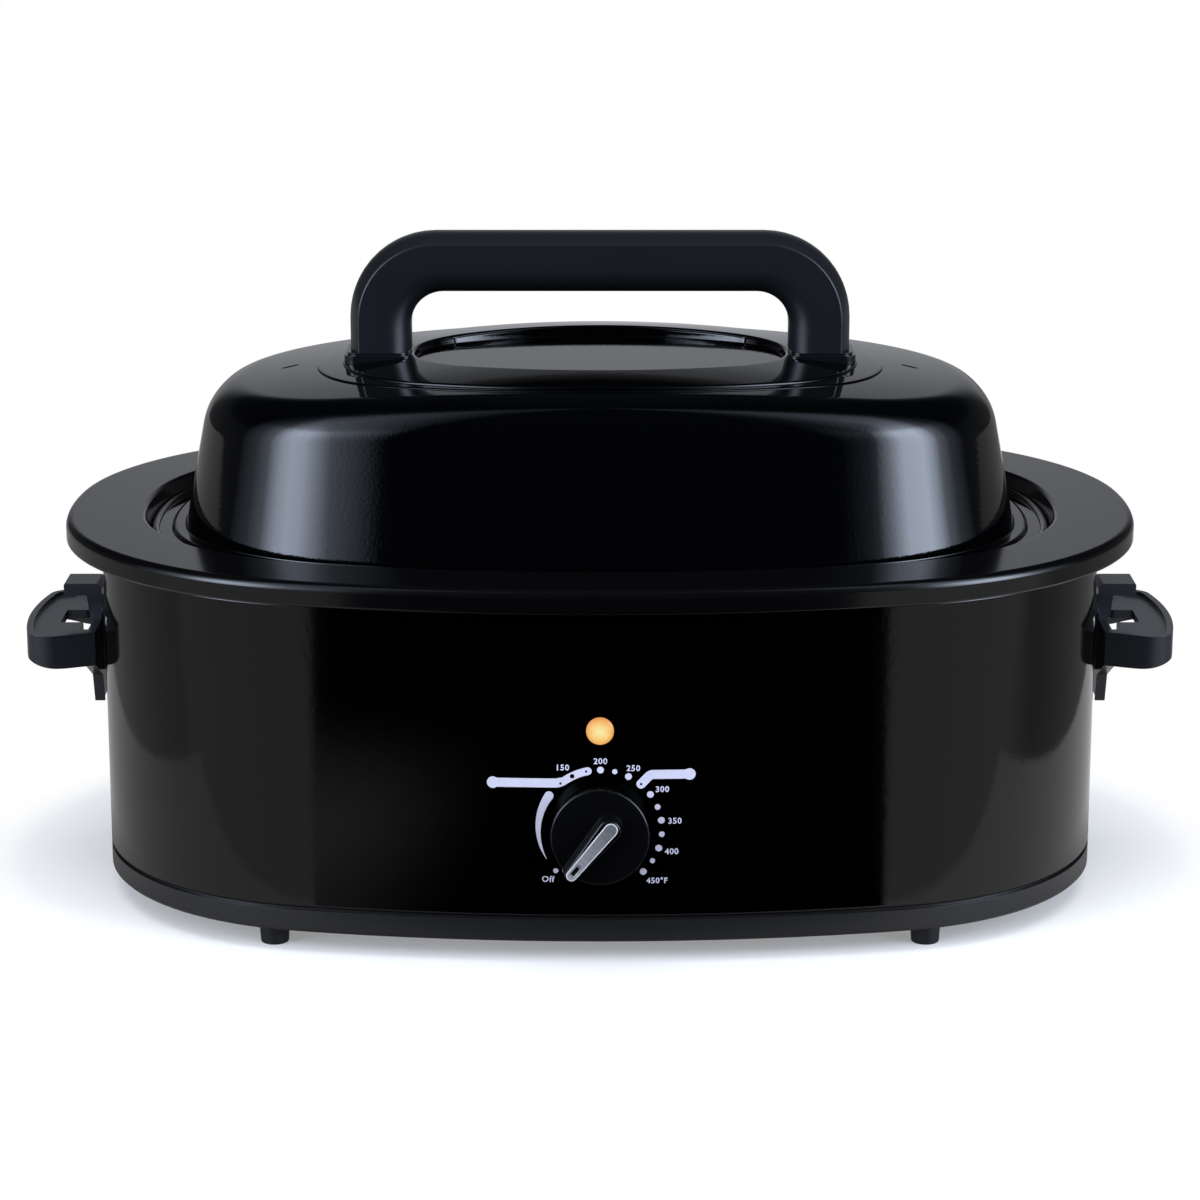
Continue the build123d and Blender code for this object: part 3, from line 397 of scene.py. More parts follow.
def colour_ramp(tree, place, stops):
    """A colour that follows (place, colour) stops along a value from 0 to 1."""
    ramp = tree.nodes.new("ShaderNodeValToRGB")
    while len(ramp.color_ramp.elements) < len(stops):
        ramp.color_ramp.elements.new(0.5)
    for element, (stop, colour) in zip(ramp.color_ramp.elements, stops):
        element.position = stop
        element.color = (*colour, 1.0)
    tree.links.new(place, ramp.inputs["Fac"])
    return ramp.outputs["Color"]


def brightness_ramp(tree, place, stops):
    """A brightness that follows (place, brightness) stops along a value from 0 to 1."""
    return colour_ramp(tree, place, [(stop, (value, value, value)) for stop, value in stops])


def parts_of(tree, vector):
    """The X, Y and Z of a vector."""
    split = tree.nodes.new("ShaderNodeSeparateXYZ")
    tree.links.new(vector, split.inputs[0])
    return split.outputs


def object_vector(tree):
    """Position in the row frame, in metres."""
    return tree.nodes.new("ShaderNodeTexCoord").outputs["Object"]


def make_orange_peel():
    """The slow ripple and fine grit of fired or sprayed gloss."""
    group, given, result = new_group(
        "orange_peel",
        [("Ripple Scale", 160.0), ("Grit Scale", 1400.0), ("Grit Share", 0.25)],
        ["Height"],
    )
    place = object_vector(group)
    ripple = noise(group, place, given.outputs["Ripple Scale"], 1.0)
    grit = noise(group, place, given.outputs["Grit Scale"], 2.0)
    height = math_node(group, "MULTIPLY_ADD", grit, given.outputs["Grit Share"], ripple)
    group.links.new(height, result.inputs["Height"])
    return group


def wandering(tree, pattern, given):
    """The group's Roughness, raised and lowered by a pattern as far as its Wander."""
    centred = math_node(tree, "SUBTRACT", pattern, 0.5)
    roughness, wander = given.outputs["Roughness"], given.outputs["Wander"]
    return math_node(tree, "MULTIPLY_ADD", centred, wander, roughness, clamp=True)


def make_wiped_finish():
    """Roughness that wanders a little, as on a surface that has been wiped."""
    group, given, result = new_group(
        "wiped_finish",
        [("Roughness", 0.1), ("Wander", 0.02), ("Scale", 18.0)],
        ["Roughness"],
    )
    cloud = noise(group, object_vector(group), given.outputs["Scale"], 4.0)
    group.links.new(wandering(group, cloud, given), result.inputs["Roughness"])
    return group


def make_grain():
    """The fine spark-eroded grain of a moulded part, as height and as a tint of its colour."""
    group, given, result = new_group(
        "moulded_grain",
        [("Grain Scale", 2600.0), ("Cloud Scale", 30.0), ("Tint", 0.15)],
        ["Height", "Shade"],
    )
    place = object_vector(group)
    height = noise(group, place, given.outputs["Grain Scale"], 2.0)
    cloud = noise(group, place, given.outputs["Cloud Scale"], 3.0)
    centred = math_node(group, "SUBTRACT", cloud, 0.5)
    shade_factor = math_node(group, "MULTIPLY_ADD", centred, given.outputs["Tint"], 1.0)
    group.links.new(height, result.inputs["Height"])
    group.links.new(shade_factor, result.inputs["Shade"])
    return group


def make_brushing():
    """Fine scratches drawn out along one axis, as height and roughness."""
    group, given, result = new_group(
        "brushing",
        [("Along X", 20.0), ("Along Y", 900.0), ("Along Z", 900.0), ("Roughness", 0.3), ("Wander", 0.25)],
        ["Height", "Roughness"],
    )
    stretch = group.nodes.new("ShaderNodeCombineXYZ")
    for axis in "XYZ":
        group.links.new(given.outputs["Along " + axis], stretch.inputs[axis])
    drawn = group.nodes.new("ShaderNodeVectorMath")
    drawn.operation = "MULTIPLY"
    group.links.new(object_vector(group), drawn.inputs[0])
    group.links.new(stretch.outputs[0], drawn.inputs[1])
    lines = noise(group, drawn.outputs[0], 1.0, 3.0)
    group.links.new(lines, result.inputs["Height"])
    group.links.new(wandering(group, lines, given), result.inputs["Roughness"])
    return group


orange_peel = make_orange_peel()
wiped_finish = make_wiped_finish()
moulded_grain = make_grain()
brushing = make_brushing()


# ---------------------------------------------------------------- materials
def new_material(name):
    """A material with its Principled shader."""
    material = bpy.data.materials.new(name)
    material.use_nodes = True
    return material, material.node_tree, material.node_tree.nodes["Principled BSDF"]


def use_group(tree, group, **values):
    """Places a shader group with its own values."""
    node = tree.nodes.new("ShaderNodeGroup")
    node.node_tree = group
    for label, value in values.items():
        node.inputs[label.replace("_", " ")].default_value = value
    return node


def add_bump(tree, shader, height, distance):
    """Feeds a height from 0 to 1 to the shader's normal, as a relief of this depth."""
    bump = tree.nodes.new("ShaderNodeBump")
    bump.inputs["Distance"].default_value = distance * MM
    tree.links.new(height, bump.inputs["Height"])
    tree.links.new(bump.outputs["Normal"], shader.inputs["Normal"])


def tinted(tree, shader, colour, shade_factor):
    """Base colour times a shade that varies over the surface."""
    mix = tree.nodes.new("ShaderNodeVectorMath")
    mix.operation = "SCALE"
    mix.inputs[0].default_value = colour
    tree.links.new(shade_factor, mix.inputs["Scale"])
    tree.links.new(mix.outputs[0], shader.inputs["Base Color"])


def enamel(name, colour, roughness, peel_depth, ripple, grit_share, wander=0.02):
    """Glossy fired or sprayed black over steel."""
    material, tree, shader = new_material(name)
    shader.inputs["Base Color"].default_value = (*colour, 1.0)
    shader.inputs["IOR"].default_value = 1.5
    wiped = use_group(tree, wiped_finish, Roughness=roughness, Wander=wander)
    tree.links.new(wiped.outputs["Roughness"], shader.inputs["Roughness"])
    peel = use_group(tree, orange_peel, Ripple_Scale=ripple, Grit_Share=grit_share)
    add_bump(tree, shader, peel.outputs["Height"], peel_depth)
    return material


def moulding(name, colour, roughness, grain_depth=0.012):
    """Moulded plastic with a fine grain."""
    material, tree, shader = new_material(name)
    shader.inputs["IOR"].default_value = 1.48
    grained = use_group(tree, moulded_grain, Grain_Scale=2600.0, Tint=0.15)
    tinted(tree, shader, colour, grained.outputs["Shade"])
    wiped = use_group(tree, wiped_finish, Roughness=roughness, Wander=0.06)
    tree.links.new(wiped.outputs["Roughness"], shader.inputs["Roughness"])
    add_bump(tree, shader, grained.outputs["Height"], grain_depth)
    return material


def bare_metal(name, colour, roughness, along, scratch_depth=0.004, wander=0.25):
    """Bare metal with the marks of rolling or brushing; along gives their scale on X, Y and Z."""
    material, tree, shader = new_material(name)
    shader.inputs["Base Color"].default_value = (*colour, 1.0)
    shader.inputs["Metallic"].default_value = 1.0
    scale = {"Along_" + axis: value for axis, value in zip("XYZ", along)}
    brushed = use_group(tree, brushing, Roughness=roughness, Wander=wander, **scale)
    tree.links.new(brushed.outputs["Roughness"], shader.inputs["Roughness"])
    add_bump(tree, shader, brushed.outputs["Height"], scratch_depth)
    return material


def make_pointer_outline():
    """A tapering pointer seen face on: how far inside its outline a point lies, and if it is in the slot."""
    group, given, result = new_group(
        "pointer_outline",
        [
            ("Head", POINTER_HEAD),
            ("Head Radius", POINTER_HEAD_RADIUS),
            ("Tip", POINTER_TIP),
            ("Tip Radius", POINTER_TIP_RADIUS),
        ],
        ["Inside", "Slot", "Along"],
    )
    place = parts_of(group, object_vector(group))
    right = math_node(group, "DIVIDE", place["X"], MM)
    up = math_node(group, "SUBTRACT", math_node(group, "DIVIDE", place["Z"], MM), DIAL_Z)
    turn_cos, turn_sin = cos(POINTER_ANGLE), sin(POINTER_ANGLE)
    along = math_node(group, "MULTIPLY_ADD", right, turn_cos, math_node(group, "MULTIPLY", up, turn_sin))
    across = math_node(group, "MULTIPLY_ADD", up, turn_cos, math_node(group, "MULTIPLY", right, -turn_sin))
    head, tip = given.outputs["Head"], given.outputs["Tip"]
    length = math_node(group, "SUBTRACT", tip, head)
    share = math_node(group, "DIVIDE", math_node(group, "SUBTRACT", along, head), length, clamp=True)
    taper = math_node(group, "SUBTRACT", given.outputs["Tip Radius"], given.outputs["Head Radius"])
    radius = math_node(group, "MULTIPLY_ADD", share, taper, given.outputs["Head Radius"])
    nearest = math_node(group, "MULTIPLY_ADD", share, length, head)
    past_end = math_node(group, "SUBTRACT", along, nearest)
    inside = math_node(group, "SUBTRACT", radius, length_of(group, past_end, across))
    group.links.new(inside, result.inputs["Inside"])
    off_slot = math_node(group, "ABSOLUTE", math_node(group, "SUBTRACT", along, SLOT_AT))
    in_length = math_node(group, "LESS_THAN", off_slot, SLOT_HALF_LENGTH)
    in_width = math_node(group, "LESS_THAN", math_node(group, "ABSOLUTE", across), SLOT_HALF_WIDTH)
    group.links.new(math_node(group, "MULTIPLY", in_length, in_width), result.inputs["Slot"])
    group.links.new(share, result.inputs["Along"])
    return group


POINTER_SILVER = (0.96, 0.96, 1.0)
# painted highlight: brightness of the bead round the pointer's face
POINTER_BEAD_HIGHLIGHT = 0.75
POINTER_SCRATCHES = (2600.0, 200.0, 160.0)  # scratches per metre, over its turned X, Y and Z
SCRATCH_SHADE = (0.5, 0.06)  # what the scratches add to the face, and its least shade
HEAD_SHADE = 0.55  # painted shade: brightness of the face at its head; the tip has twice as much


def make_pointer_finish():
    """Silver insert: a painted highlight on the bead round a brushed face, painted shade that darkens the
    face towards its head, and painted shade in the slot.
    """
    material, tree, shader = new_material("pointer_brushed")
    outline = use_group(tree, make_pointer_outline())
    stretched = tree.nodes.new("ShaderNodeVectorMath")
    stretched.operation = "MULTIPLY"
    stretched.inputs[1].default_value = POINTER_SCRATCHES
    turned = tree.nodes.new("ShaderNodeVectorRotate")
    turned.rotation_type = "Y_AXIS"
    turned.inputs["Angle"].default_value = POINTER_ANGLE
    tree.links.new(object_vector(tree), turned.inputs["Vector"])
    tree.links.new(turned.outputs[0], stretched.inputs[0])
    scratches = noise(tree, stretched.outputs[0], 1.0, 3.0)
    brushed = math_node(tree, "MULTIPLY_ADD", scratches, *SCRATCH_SHADE)
    # painted shade: the face is drawn darker towards its head
    fade = math_node(tree, "MULTIPLY_ADD", outline.outputs["Along"], HEAD_SHADE, HEAD_SHADE)
    graded = math_node(tree, "MULTIPLY", brushed, fade)
    # painted highlight on the bead; painted shade over the face and in the slot
    face = math_node(tree, "GREATER_THAN", outline.outputs["Inside"], POINTER_BEAD)
    bead = math_node(tree, "SUBTRACT", 1.0, face)
    # painted shade: the slot is left black
    open_face = math_node(tree, "SUBTRACT", 1.0, outline.outputs["Slot"])
    shown = math_node(tree, "MULTIPLY", math_node(tree, "MULTIPLY", graded, face), open_face)
    tinted(tree, shader, POINTER_SILVER, math_node(tree, "MULTIPLY_ADD", bead, POINTER_BEAD_HIGHLIGHT, shown))
    shader.inputs["Metallic"].default_value = 0.30
    shader.inputs["Roughness"].default_value = 0.42
    add_bump(tree, shader, scratches, 0.01)
    return material


def make_hole_shade():
    """Painted shade for the dark inside of a narrow slit: black that mirrors nothing."""
    material, _, shader = new_material("hole_shade")
    shader.inputs["Base Color"].default_value = (0, 0, 0, 1)
    shader.inputs["Specular IOR Level"].default_value = 0.0
    return material


WOOL_COLOUR = (0.62, 0.55, 0.38)
INK_COLOUR = (0.60, 0.585, 0.70)


def make_wool():
    """Loose mineral wool."""
    material, tree, shader = new_material("mineral_wool")
    grained = use_group(tree, moulded_grain, Grain_Scale=500.0, Cloud_Scale=60.0, Tint=0.8)
    tinted(tree, shader, WOOL_COLOUR, grained.outputs["Shade"])
    shader.inputs["Roughness"].default_value = 0.95
    add_bump(tree, shader, grained.outputs["Height"], 1.2)
    return material


def make_ink():
    """Pale lilac-grey screen print."""
    material, tree, shader = new_material("dial_ink")
    grained = use_group(tree, moulded_grain, Grain_Scale=1800.0, Cloud_Scale=120.0, Tint=0.12)
    tinted(tree, shader, INK_COLOUR, grained.outputs["Shade"])
    shader.inputs["Roughness"].default_value = 0.45
    return material


RING_GLOW = (0.06, 0.94)  # what the rings add to the glow, and its mean
LENS_STOPS = (  # place from the middle to the rim, colour
    (0.0, (0.93, 0.88, 0.52)),
    (0.3, (1.0, 0.76, 0.30)),
    (0.7, (0.95, 0.58, 0.18)),
    (1.0, (0.86, 0.35, 0.10)),
)


def make_amber_lens():
    """Amber lens lit from behind: pale yellow over the lamp, orange at its rim, with moulded rings."""
    material, tree, shader = new_material("lit_amber_lens")
    place = parts_of(tree, object_vector(tree))
    above = math_node(tree, "SUBTRACT", place["Z"], LAMP_Z * MM)
    distance = length_of(tree, above, place["X"])
    share = math_node(tree, "DIVIDE", distance, lens_radius * MM, clamp=True)
    tree.links.new(colour_ramp(tree, share, LENS_STOPS), shader.inputs["Emission Color"])
    shader.inputs["Base Color"].default_value = (0.02, 0.01, 0.004, 1.0)
    shader.inputs["Roughness"].default_value = 0.16
    rings = math_node(tree, "SINE", math_node(tree, "MULTIPLY", distance, 2 * pi / (LENS_RING_PITCH * MM)))
    tree.links.new(math_node(tree, "MULTIPLY_ADD", rings, *RING_GLOW), shader.inputs["Emission Strength"])
    add_bump(tree, shader, rings, 0.10)
    return material


shell_paint = enamel("shell_black", (0.0002, 0.0002, 0.0002), 0.075, 0.016, 240.0, 0.35)
base_paint = enamel("base_black", (0.0085, 0.0083, 0.0090), 0.30, 0.020, 240.0, 0.35)
pan_enamel = enamel("pan_enamel", (0.0014, 0.0014, 0.0016), 0.15, 0.022, 200.0, 0.30)
lid_enamel = enamel("lid_enamel", (0.0004, 0.0005, 0.0007), 0.05, 0.016, 520.0, 0.35, 0.01)
slit_shade = make_hole_shade()
handle_plastic = moulding("handle_black", (0.0060, 0.0068, 0.0086), 0.32)
side_plastic = moulding("side_handle_black", (0.0170, 0.0190, 0.0240), 0.27)
gasket_plastic = moulding("gasket_black", (0.004, 0.004, 0.005), 0.12, 0.003)
knob_plastic = moulding("knob_black", (0.0020, 0.0020, 0.0026), 0.22, 0.005)
foot_plastic = moulding("foot_black", (0.006, 0.006, 0.007), 0.45)
dark_phenolic = moulding("dark_phenolic", (0.07, 0.05, 0.04), 0.35)
terminal_plastic = moulding("terminal_white", (0.72, 0.70, 0.64), 0.4)
pointer_metal = make_pointer_finish()
dull_steel = bare_metal("aluminised_steel", (0.55, 0.56, 0.57), 0.42, (40.0, 40.0, 700.0))
zinc_steel = bare_metal("zinc_plated", (0.62, 0.62, 0.60), 0.32, (300.0, 300.0, 300.0))
bright_wire = bare_metal("chromed_wire", (0.78, 0.79, 0.81), 0.08, (200.0, 200.0, 200.0), 0.002, 0.05)
copper = bare_metal("copper_strip", (0.78, 0.46, 0.26), 0.35, (40.0, 700.0, 700.0))
mineral_wool = make_wool()
dial_ink = make_ink()
amber_lens = make_amber_lens()


# ---------------------------------------------------------------- pressed steel
def scaled(loop, share):
    """A loop drawn in towards the middle."""
    return [Vector((x * share, y * share, z)) for x, y, z in loop]


def pressed(name, oval, points, radii, sheet, finish, floor_shares=()):
    """A bent sheet round an oval, from (inset, height) points on the face that shows; a pan has a floor."""
    loops = [oval.loop(inset, height) for inset, height in rounded(points, radii)]
    edge = loops[-1]
    loops += [scaled(edge, share) for share in floor_shares]
    piece = skin(name, loops, finish, cap_last=bool(floor_shares))
    thicken(piece, sheet)
    return piece


def make_shell():
    """The painted outer shell."""
    points = [
        (SHELL_LOW_FLANGE, shell_low.z),
        (0, shell_low.z),
        (0, shell_high.z),
        (SHELL_HIGH_FLANGE, shell_high.z),
    ]
    shell = pressed("outer_shell_skin", body, points, [SHELL_BEND, SHELL_BEND], SHELL_SHEET, shell_paint)
    settle(shell, "base", "shell_paint", "outer_shell")


def make_pan():
    """The lift-out pan with its wide rolled rim."""
    lip_end = pan_high.z - RIM_LIP
    floor = pan_low.z + PAN_SHEET
    points = [
        (RIM_CURL_INSET, lip_end),
        (0, lip_end),
        (0, pan_high.z),
        (RIM_WIDTH, pan_high.z),
        (LEDGE_INSET, ledge_top),
        (PAN_WALL_INSET, ledge_top),
        (PAN_FOOT_INSET, floor),
        (PAN_FLOOR_INSET, floor),
    ]
    radii = [RIM_LIP_BEND, RIM_ROLL, RIM_BEND, LEDGE_BEND, PAN_WALL_BEND, PAN_FOOT_BEND]
    pan = pressed("pan_pressing", rim, points, radii, PAN_SHEET, pan_enamel, PAN_FLOOR_SHARES)
    settle(pan, "pan", "pan_enamel", "roasting_pan")


def dome_height(top):
    """Height of a dome, as a function of x and y, whose middle is at top."""
    return lambda x, y: top - DOME_RADIUS + sqrt(DOME_RADIUS**2 - x**2 - y**2)


crown = dome_height(crown_top)
embossed = dome_height(crown_top + EMBOSS_RISE)
lip_dome = dome_height(DOME_TOP + LIP_RISE)
panel_edge_dome = dome_height(DOME_TOP - PANEL_FALL)


def wall_inset(height):
    """Inset of the lid's leaning wall at a height."""
    return LID_WALL_INSET + (height - lid_wall_foot) * tan(LID_WALL_LEAN)


SETTLING_PASSES = 6
EDGE_STEPS = 5
RING_STEPS = 3
SHOULDER_STEPS = 18
END_SHARPNESS = 6  # how closely the ends' rounding keeps to the ends


def shoulder(station):
    """Points where the dome rolls over into the wall, at one station round the lid."""
    outward = station[2]
    height = crown_top
    for _ in range(SETTLING_PASSES):
        height = crown(*rim.spot(station, wall_inset(height)))
    sharp = rim.spot(station, wall_inset(height))
    slope = -sharp.dot(outward) / sqrt(DOME_RADIUS**2 - sharp.length_squared)
    along_dome = Vector((1, slope)).normalized()
    down_wall = Vector((sin(LID_WALL_LEAN), -cos(LID_WALL_LEAN)))
    turn = along_dome.angle(down_wall)
    roll = SHOULDER_FRONT + (SHOULDER_END - SHOULDER_FRONT) * outward.x**END_SHARPNESS
    reach = roll * tan(turn / 2)
    start_plan = sharp - outward * along_dome.x * reach
    start = Vector((-along_dome.x * reach, crown(*start_plan) - height))
    start_slope = -start_plan.dot(outward) / sqrt(DOME_RADIUS**2 - start_plan.length_squared)
    end = down_wall * reach
    pull = 4 / 3 * tan(turn / 4) / tan(turn / 2)
    controls = [
        start,
        start + Vector((1, start_slope)).normalized() * reach * pull,
        end - down_wall * reach * pull,
        end,
    ]
    points = []
    for step in range(SHOULDER_STEPS + 1):
        t = step / SHOULDER_STEPS
        weights = [(1 - t) ** 3, 3 * t * (1 - t) ** 2, 3 * t**2 * (1 - t), t**3]
        out, up = sum((control * weight for control, weight in zip(controls, weights)), Vector((0, 0)))
        plan = sharp + outward * out
        points.append(Vector((plan.x, plan.y, height + up)))
    return points


def quarter_turn(radius, steps):
    """Pairs round a quarter circle: the first grows from 0 to the radius as the second shrinks to 0."""
    angles = [pi / 2 * step / steps for step in range(steps + 1)]
    return [(radius * (1 - cos(angle)), radius * (1 - sin(angle))) for angle in angles]


def stepped_rise(oval, radius, above, below, steps):
    """Loops over a pressed step: rounded off at the top of the oval, filleted at its foot."""
    loops = []
    for drop, inset in quarter_turn(radius, steps):
        loops.append(oval.loop(inset, lambda x, y, drop=drop: above(x, y) - drop))
    for outset, lift in quarter_turn(radius, steps):
        loops.append(oval.loop(-outset, lambda x, y, lift=lift: below(x, y) + lift))
    return loops


def between(first, second, shares, height):
    """Loops that pass from one loop to another over a dome."""
    loops = []
    for share in shares:
        spots = [a.lerp(b, share) for a, b in zip(first, second)]
        loops.append([Vector((x, y, height(x, y))) for x, y, _ in spots])
    return loops


def well_loops():
    """The pressed well, from its floor out over its rolled lip."""
    floor = DOME_TOP - RECESS_DEPTH
    loops = [scaled(recess.loop(RECESS_FLOOR_INSET, floor), share) for share in (0.3, 0.6, 0.85, 1.0)]
    wall = [(RECESS_FLOOR_INSET, floor), (RECESS_FOOT_INSET, floor), (0, floor + RECESS_WALL_START)]
    loops += [recess.loop(inset, height) for inset, height in rounded(wall, [RECESS_BEND])[1:]]
    for outset, drop in quarter_turn(LIP_RADIUS, EDGE_STEPS):
        loops.append(recess.loop(-outset, lambda x, y, drop=drop: lip_dome(x, y) - drop))
    return loops


def panel_loops(lip):
    """The raised panel round the well, and the low ring pressed outside it."""
    edge = stepped_rise(panel, PANEL_EDGE, panel_edge_dome, embossed, EDGE_STEPS)
    loops = []
    for share in (0.03, 0.25, 0.5, 0.75, 0.97):
        sinking = dome_height(DOME_TOP + LIP_RISE - (LIP_RISE + PANEL_FALL) * share)
        loops += between(lip, edge[0], (share,), sinking)
    ring_edge = stepped_rise(emboss, EMBOSS_EDGE, embossed, crown, RING_STEPS)
    return loops + edge + between(edge[-1], ring_edge[0], (0.05, 0.5, 0.95), embossed) + ring_edge


def wall_loops(ring_edge):
    """The open dome, the rolled shoulder and the leaning wall down to its lowest stretch."""
    rolls = [shoulder(station) for station in rim.stations]
    rolled = [list(loop) for loop in zip(*rolls)]
    loops = between(ring_edge, rolled[0], (0.03, 0.2, 0.4, 0.6, 0.8, 0.95), crown) + rolled
    foot = rim.loop(wall_inset(foot_start), foot_start)
    for share in (0.03, 0.25, 0.5, 0.75):
        loops.append([a.lerp(b, share) for a, b in zip(rolled[-1], foot)])
    return loops


def flange_loops():
    """The wall's foot, the step, the flange, and the bead rolled round its edge."""
    bead_inset = pan_high.x - lid_high.x + LID_BEAD
    bead_height = lid_flange_top + LID_BEAD * LID_BEAD_LIFT
    step_inset = LID_WALL_INSET - LID_STEP_WIDTH
    points = [
        (wall_inset(foot_start), foot_start),
        (LID_WALL_INSET, lid_wall_foot),
        (step_inset, lid_wall_foot),
        (step_inset - LID_STEP_SLOPE, lid_flange_top),
        (bead_inset + LID_BEAD, lid_flange_top),
    ]
    foot = rounded(points, [LID_FOOT_BEND, LID_FLANGE_BEND, LID_FLANGE_BEND])
    loops = [rim.loop(inset, height) for inset, height in foot]
    for step in range(LID_BEAD_STEPS + 1):
        angle = radians(LID_BEAD_START - LID_BEAD_TURN * step / LID_BEAD_STEPS)
        loops.append(rim.loop(bead_inset - LID_BEAD * cos(angle), bead_height + LID_BEAD * sin(angle)))
    return loops


def make_lid():
    """The domed lid with its raised panel, shallow well, rolled shoulder and flange."""
    loops = well_loops()
    loops += panel_loops(loops[-1])
    loops += wall_loops(loops[-1])
    loops += flange_loops()
    lid = skin("lid_pressing", loops, lid_enamel, cap_first=True)
    thicken(lid, LID_SKIN)
    settle(lid, "lid", "lid_enamel", "lid")


def make_vent_slits():
    """Painted shade for the two steam slits: flat black patches just above the dome, their outer ends nearer
    the front.
    """
    for name, side in (("vent_slit_shade_right", 1), ("vent_slit_shade_left", -1)):
        along = Vector((cos(VENT_TURN), -side * sin(VENT_TURN)))
        across = Vector((-along.y, along.x))
        outline = []
        for step in range(VENT_POINTS):
            turn = 2 * pi * step / VENT_POINTS
            spot = Vector((side * VENT_X, VENT_Y))
            spot += along * VENT_LENGTH / 2 * cos(turn) + across * VENT_WIDTH / 2 * sin(turn)
            outline.append((spot.x, spot.y, crown(spot.x, spot.y) + VENT_LIFT))
        # painted shade: a flat black patch lying over the dome where the slit is
        slit = new_mesh(name, outline, [tuple(range(len(outline)))], slit_shade)
        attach(slit, "lid")


# ---------------------------------------------------------------- lid handle
HANDLE_CROWN = 5.0  # fall of the outer face from its middle to the crease
HANDLE_GRIP_RADIUS = 13.0
HANDLE_LEG = 32.0
HANDLE_BAR = 31.0
HANDLE_OUTER_BEND = 45.0
HANDLE_INNER_BEND = 17.0
HANDLE_CREASE = 0.8  # rounding of the crease at each side
HANDLE_FACE_END = 0.64  # where the outer face stops, in from the side
CREASE_MIDDLE = (0.18, 0.02)  # the rounding's middle: in from the side, and up from the crease
HANDLE_STEPS = (10, 24, 40, 24, 10)  # along its leg, bend, bar, bend and leg
FACE_STEPS = 10
GRIP_STEPS = 12


def arch_lines():
    """The lid handle's outer and inner edge lines, seen from the front, with matching points."""
    span = handle_high.x
    lines = []
    for half_span, top, bend in (
        (span, handle_high.z, HANDLE_OUTER_BEND),
        (span - HANDLE_LEG, handle_high.z - HANDLE_BAR, HANDLE_INNER_BEND),
    ):
        corners = [(-half_span, handle_low.z), (-half_span, top), (half_span, top), (half_span, handle_low.z)]
        lines.append(rounded(corners, [bend, bend]))
    return lines


def stretches(line):
    """First and last point of each stretch of an arch line: leg, bend, bar, bend and leg."""
    bend = (len(line) - 2) // 2
    return [(0, 1), (1, bend), (bend, bend + 1), (bend + 1, 2 * bend), (2 * bend, 2 * bend + 1)]


def resample(line):
    """Points along an arch line, evenly spread within each of its stretches."""
    points = []
    for (first, last), count in zip(stretches(line), HANDLE_STEPS):
        stretch = line[first : last + 1]
        lengths = [0.0]
        for a, b in zip(stretch, stretch[1:]):
            lengths.append(lengths[-1] + (b - a).length)
        for step in range(count):
            goal = lengths[-1] * step / count
            index = max(i for i, length in enumerate(lengths[:-1]) if length <= goal + 1e-9)
            share = (goal - lengths[index]) / (lengths[index + 1] - lengths[index])
            points.append(stretch[index].lerp(stretch[index + 1], share))
    points.append(line[-1])
    return points


def handle_section(thickness):
    """The bar's section as (depth from its middle, distance in from the outer line), down one side."""
    half_depth = handle_high.y
    round_radius = (half_depth**2 + HANDLE_CROWN**2) / (2 * HANDLE_CROWN)
    section = []
    for step in range(FACE_STEPS + 1):
        across = (half_depth - HANDLE_FACE_END) * step / FACE_STEPS
        section.append((across, round_radius - sqrt(round_radius**2 - across**2)))
    flat_start = HANDLE_CROWN + HANDLE_CREASE
    flat_end = thickness - HANDLE_GRIP_RADIUS
    section.append((half_depth - CREASE_MIDDLE[0], HANDLE_CROWN - CREASE_MIDDLE[1]))
    section += [(half_depth, flat_start), (half_depth, (flat_start + flat_end) / 2), (half_depth, flat_end)]
    for step in range(1, GRIP_STEPS + 1):
        angle = pi / 2 * step / GRIP_STEPS
        depth = half_depth - HANDLE_GRIP_RADIUS * (1 - cos(angle))
        section.append((depth, flat_end + HANDLE_GRIP_RADIUS * sin(angle)))
    section.append((0, thickness))
    return section


def make_lid_handle():
    """The moulded arch with its parting edge and rounded grip."""
    outer, inner = (resample(line) for line in arch_lines())
    loops = []
    for out, into in zip(outer, inner):
        inward = (into - out).normalized()
        half = handle_section((into - out).length)
        ring = half + [(-depth, inset) for depth, inset in half[-2:0:-1]]
        spots = [(out + inward * inset, depth) for depth, inset in ring]
        loops.append([Vector((spot.x, depth, spot.y)) for spot, depth in spots])
    handle = skin("lid_handle_moulding", loops, handle_plastic, cap_first=True, cap_last=True)
    even_normals(handle)
    settle(handle, "lid", "handle_plastic", "lid_handle")


# ---------------------------------------------------------------- dial print
DOT_CIRCLE = 30.3
BIG_DOT = 1.7
MIDDLE_DOT = 1.45
SMALL_DOT = 1.3
DOT_POINTS = 20
DOTS = (  # angle in degrees, radius
    (224.4, SMALL_DOT),
    (89.6, BIG_DOT),
    (76.3, SMALL_DOT),
    (62.8, BIG_DOT),
    (35.9, BIG_DOT),
    (22.0, MIDDLE_DOT),
    (8.7, BIG_DOT),
    (-4.9, MIDDLE_DOT),
    (-18.6, BIG_DOT),
    (-32.1, SMALL_DOT),
    (-45.6, BIG_DOT),
)
LABEL_HEIGHT = 3.1
LABEL_WEIGHT = 0.022  # strokes thickened, as a share of the type's size
LABEL_SPACING = 1.12
LABELS = (  # text, then the place of its middle: across from the dial's middle, and up
    ("150", -18.0, 31.5),
    ("200", 0.2, 34.8),
    ("250", 16.2, 31.2),
    ("300", 30.4, 20.4),
    ("350", 36.6, 4.2),
    ("400", 35.0, -11.4),
    ("450°F", 27.9, -26.2),
    ("Off", -25.3, -25.5),
)
BAND_WIDTH = 4.6
BAND_STEP = 2.5
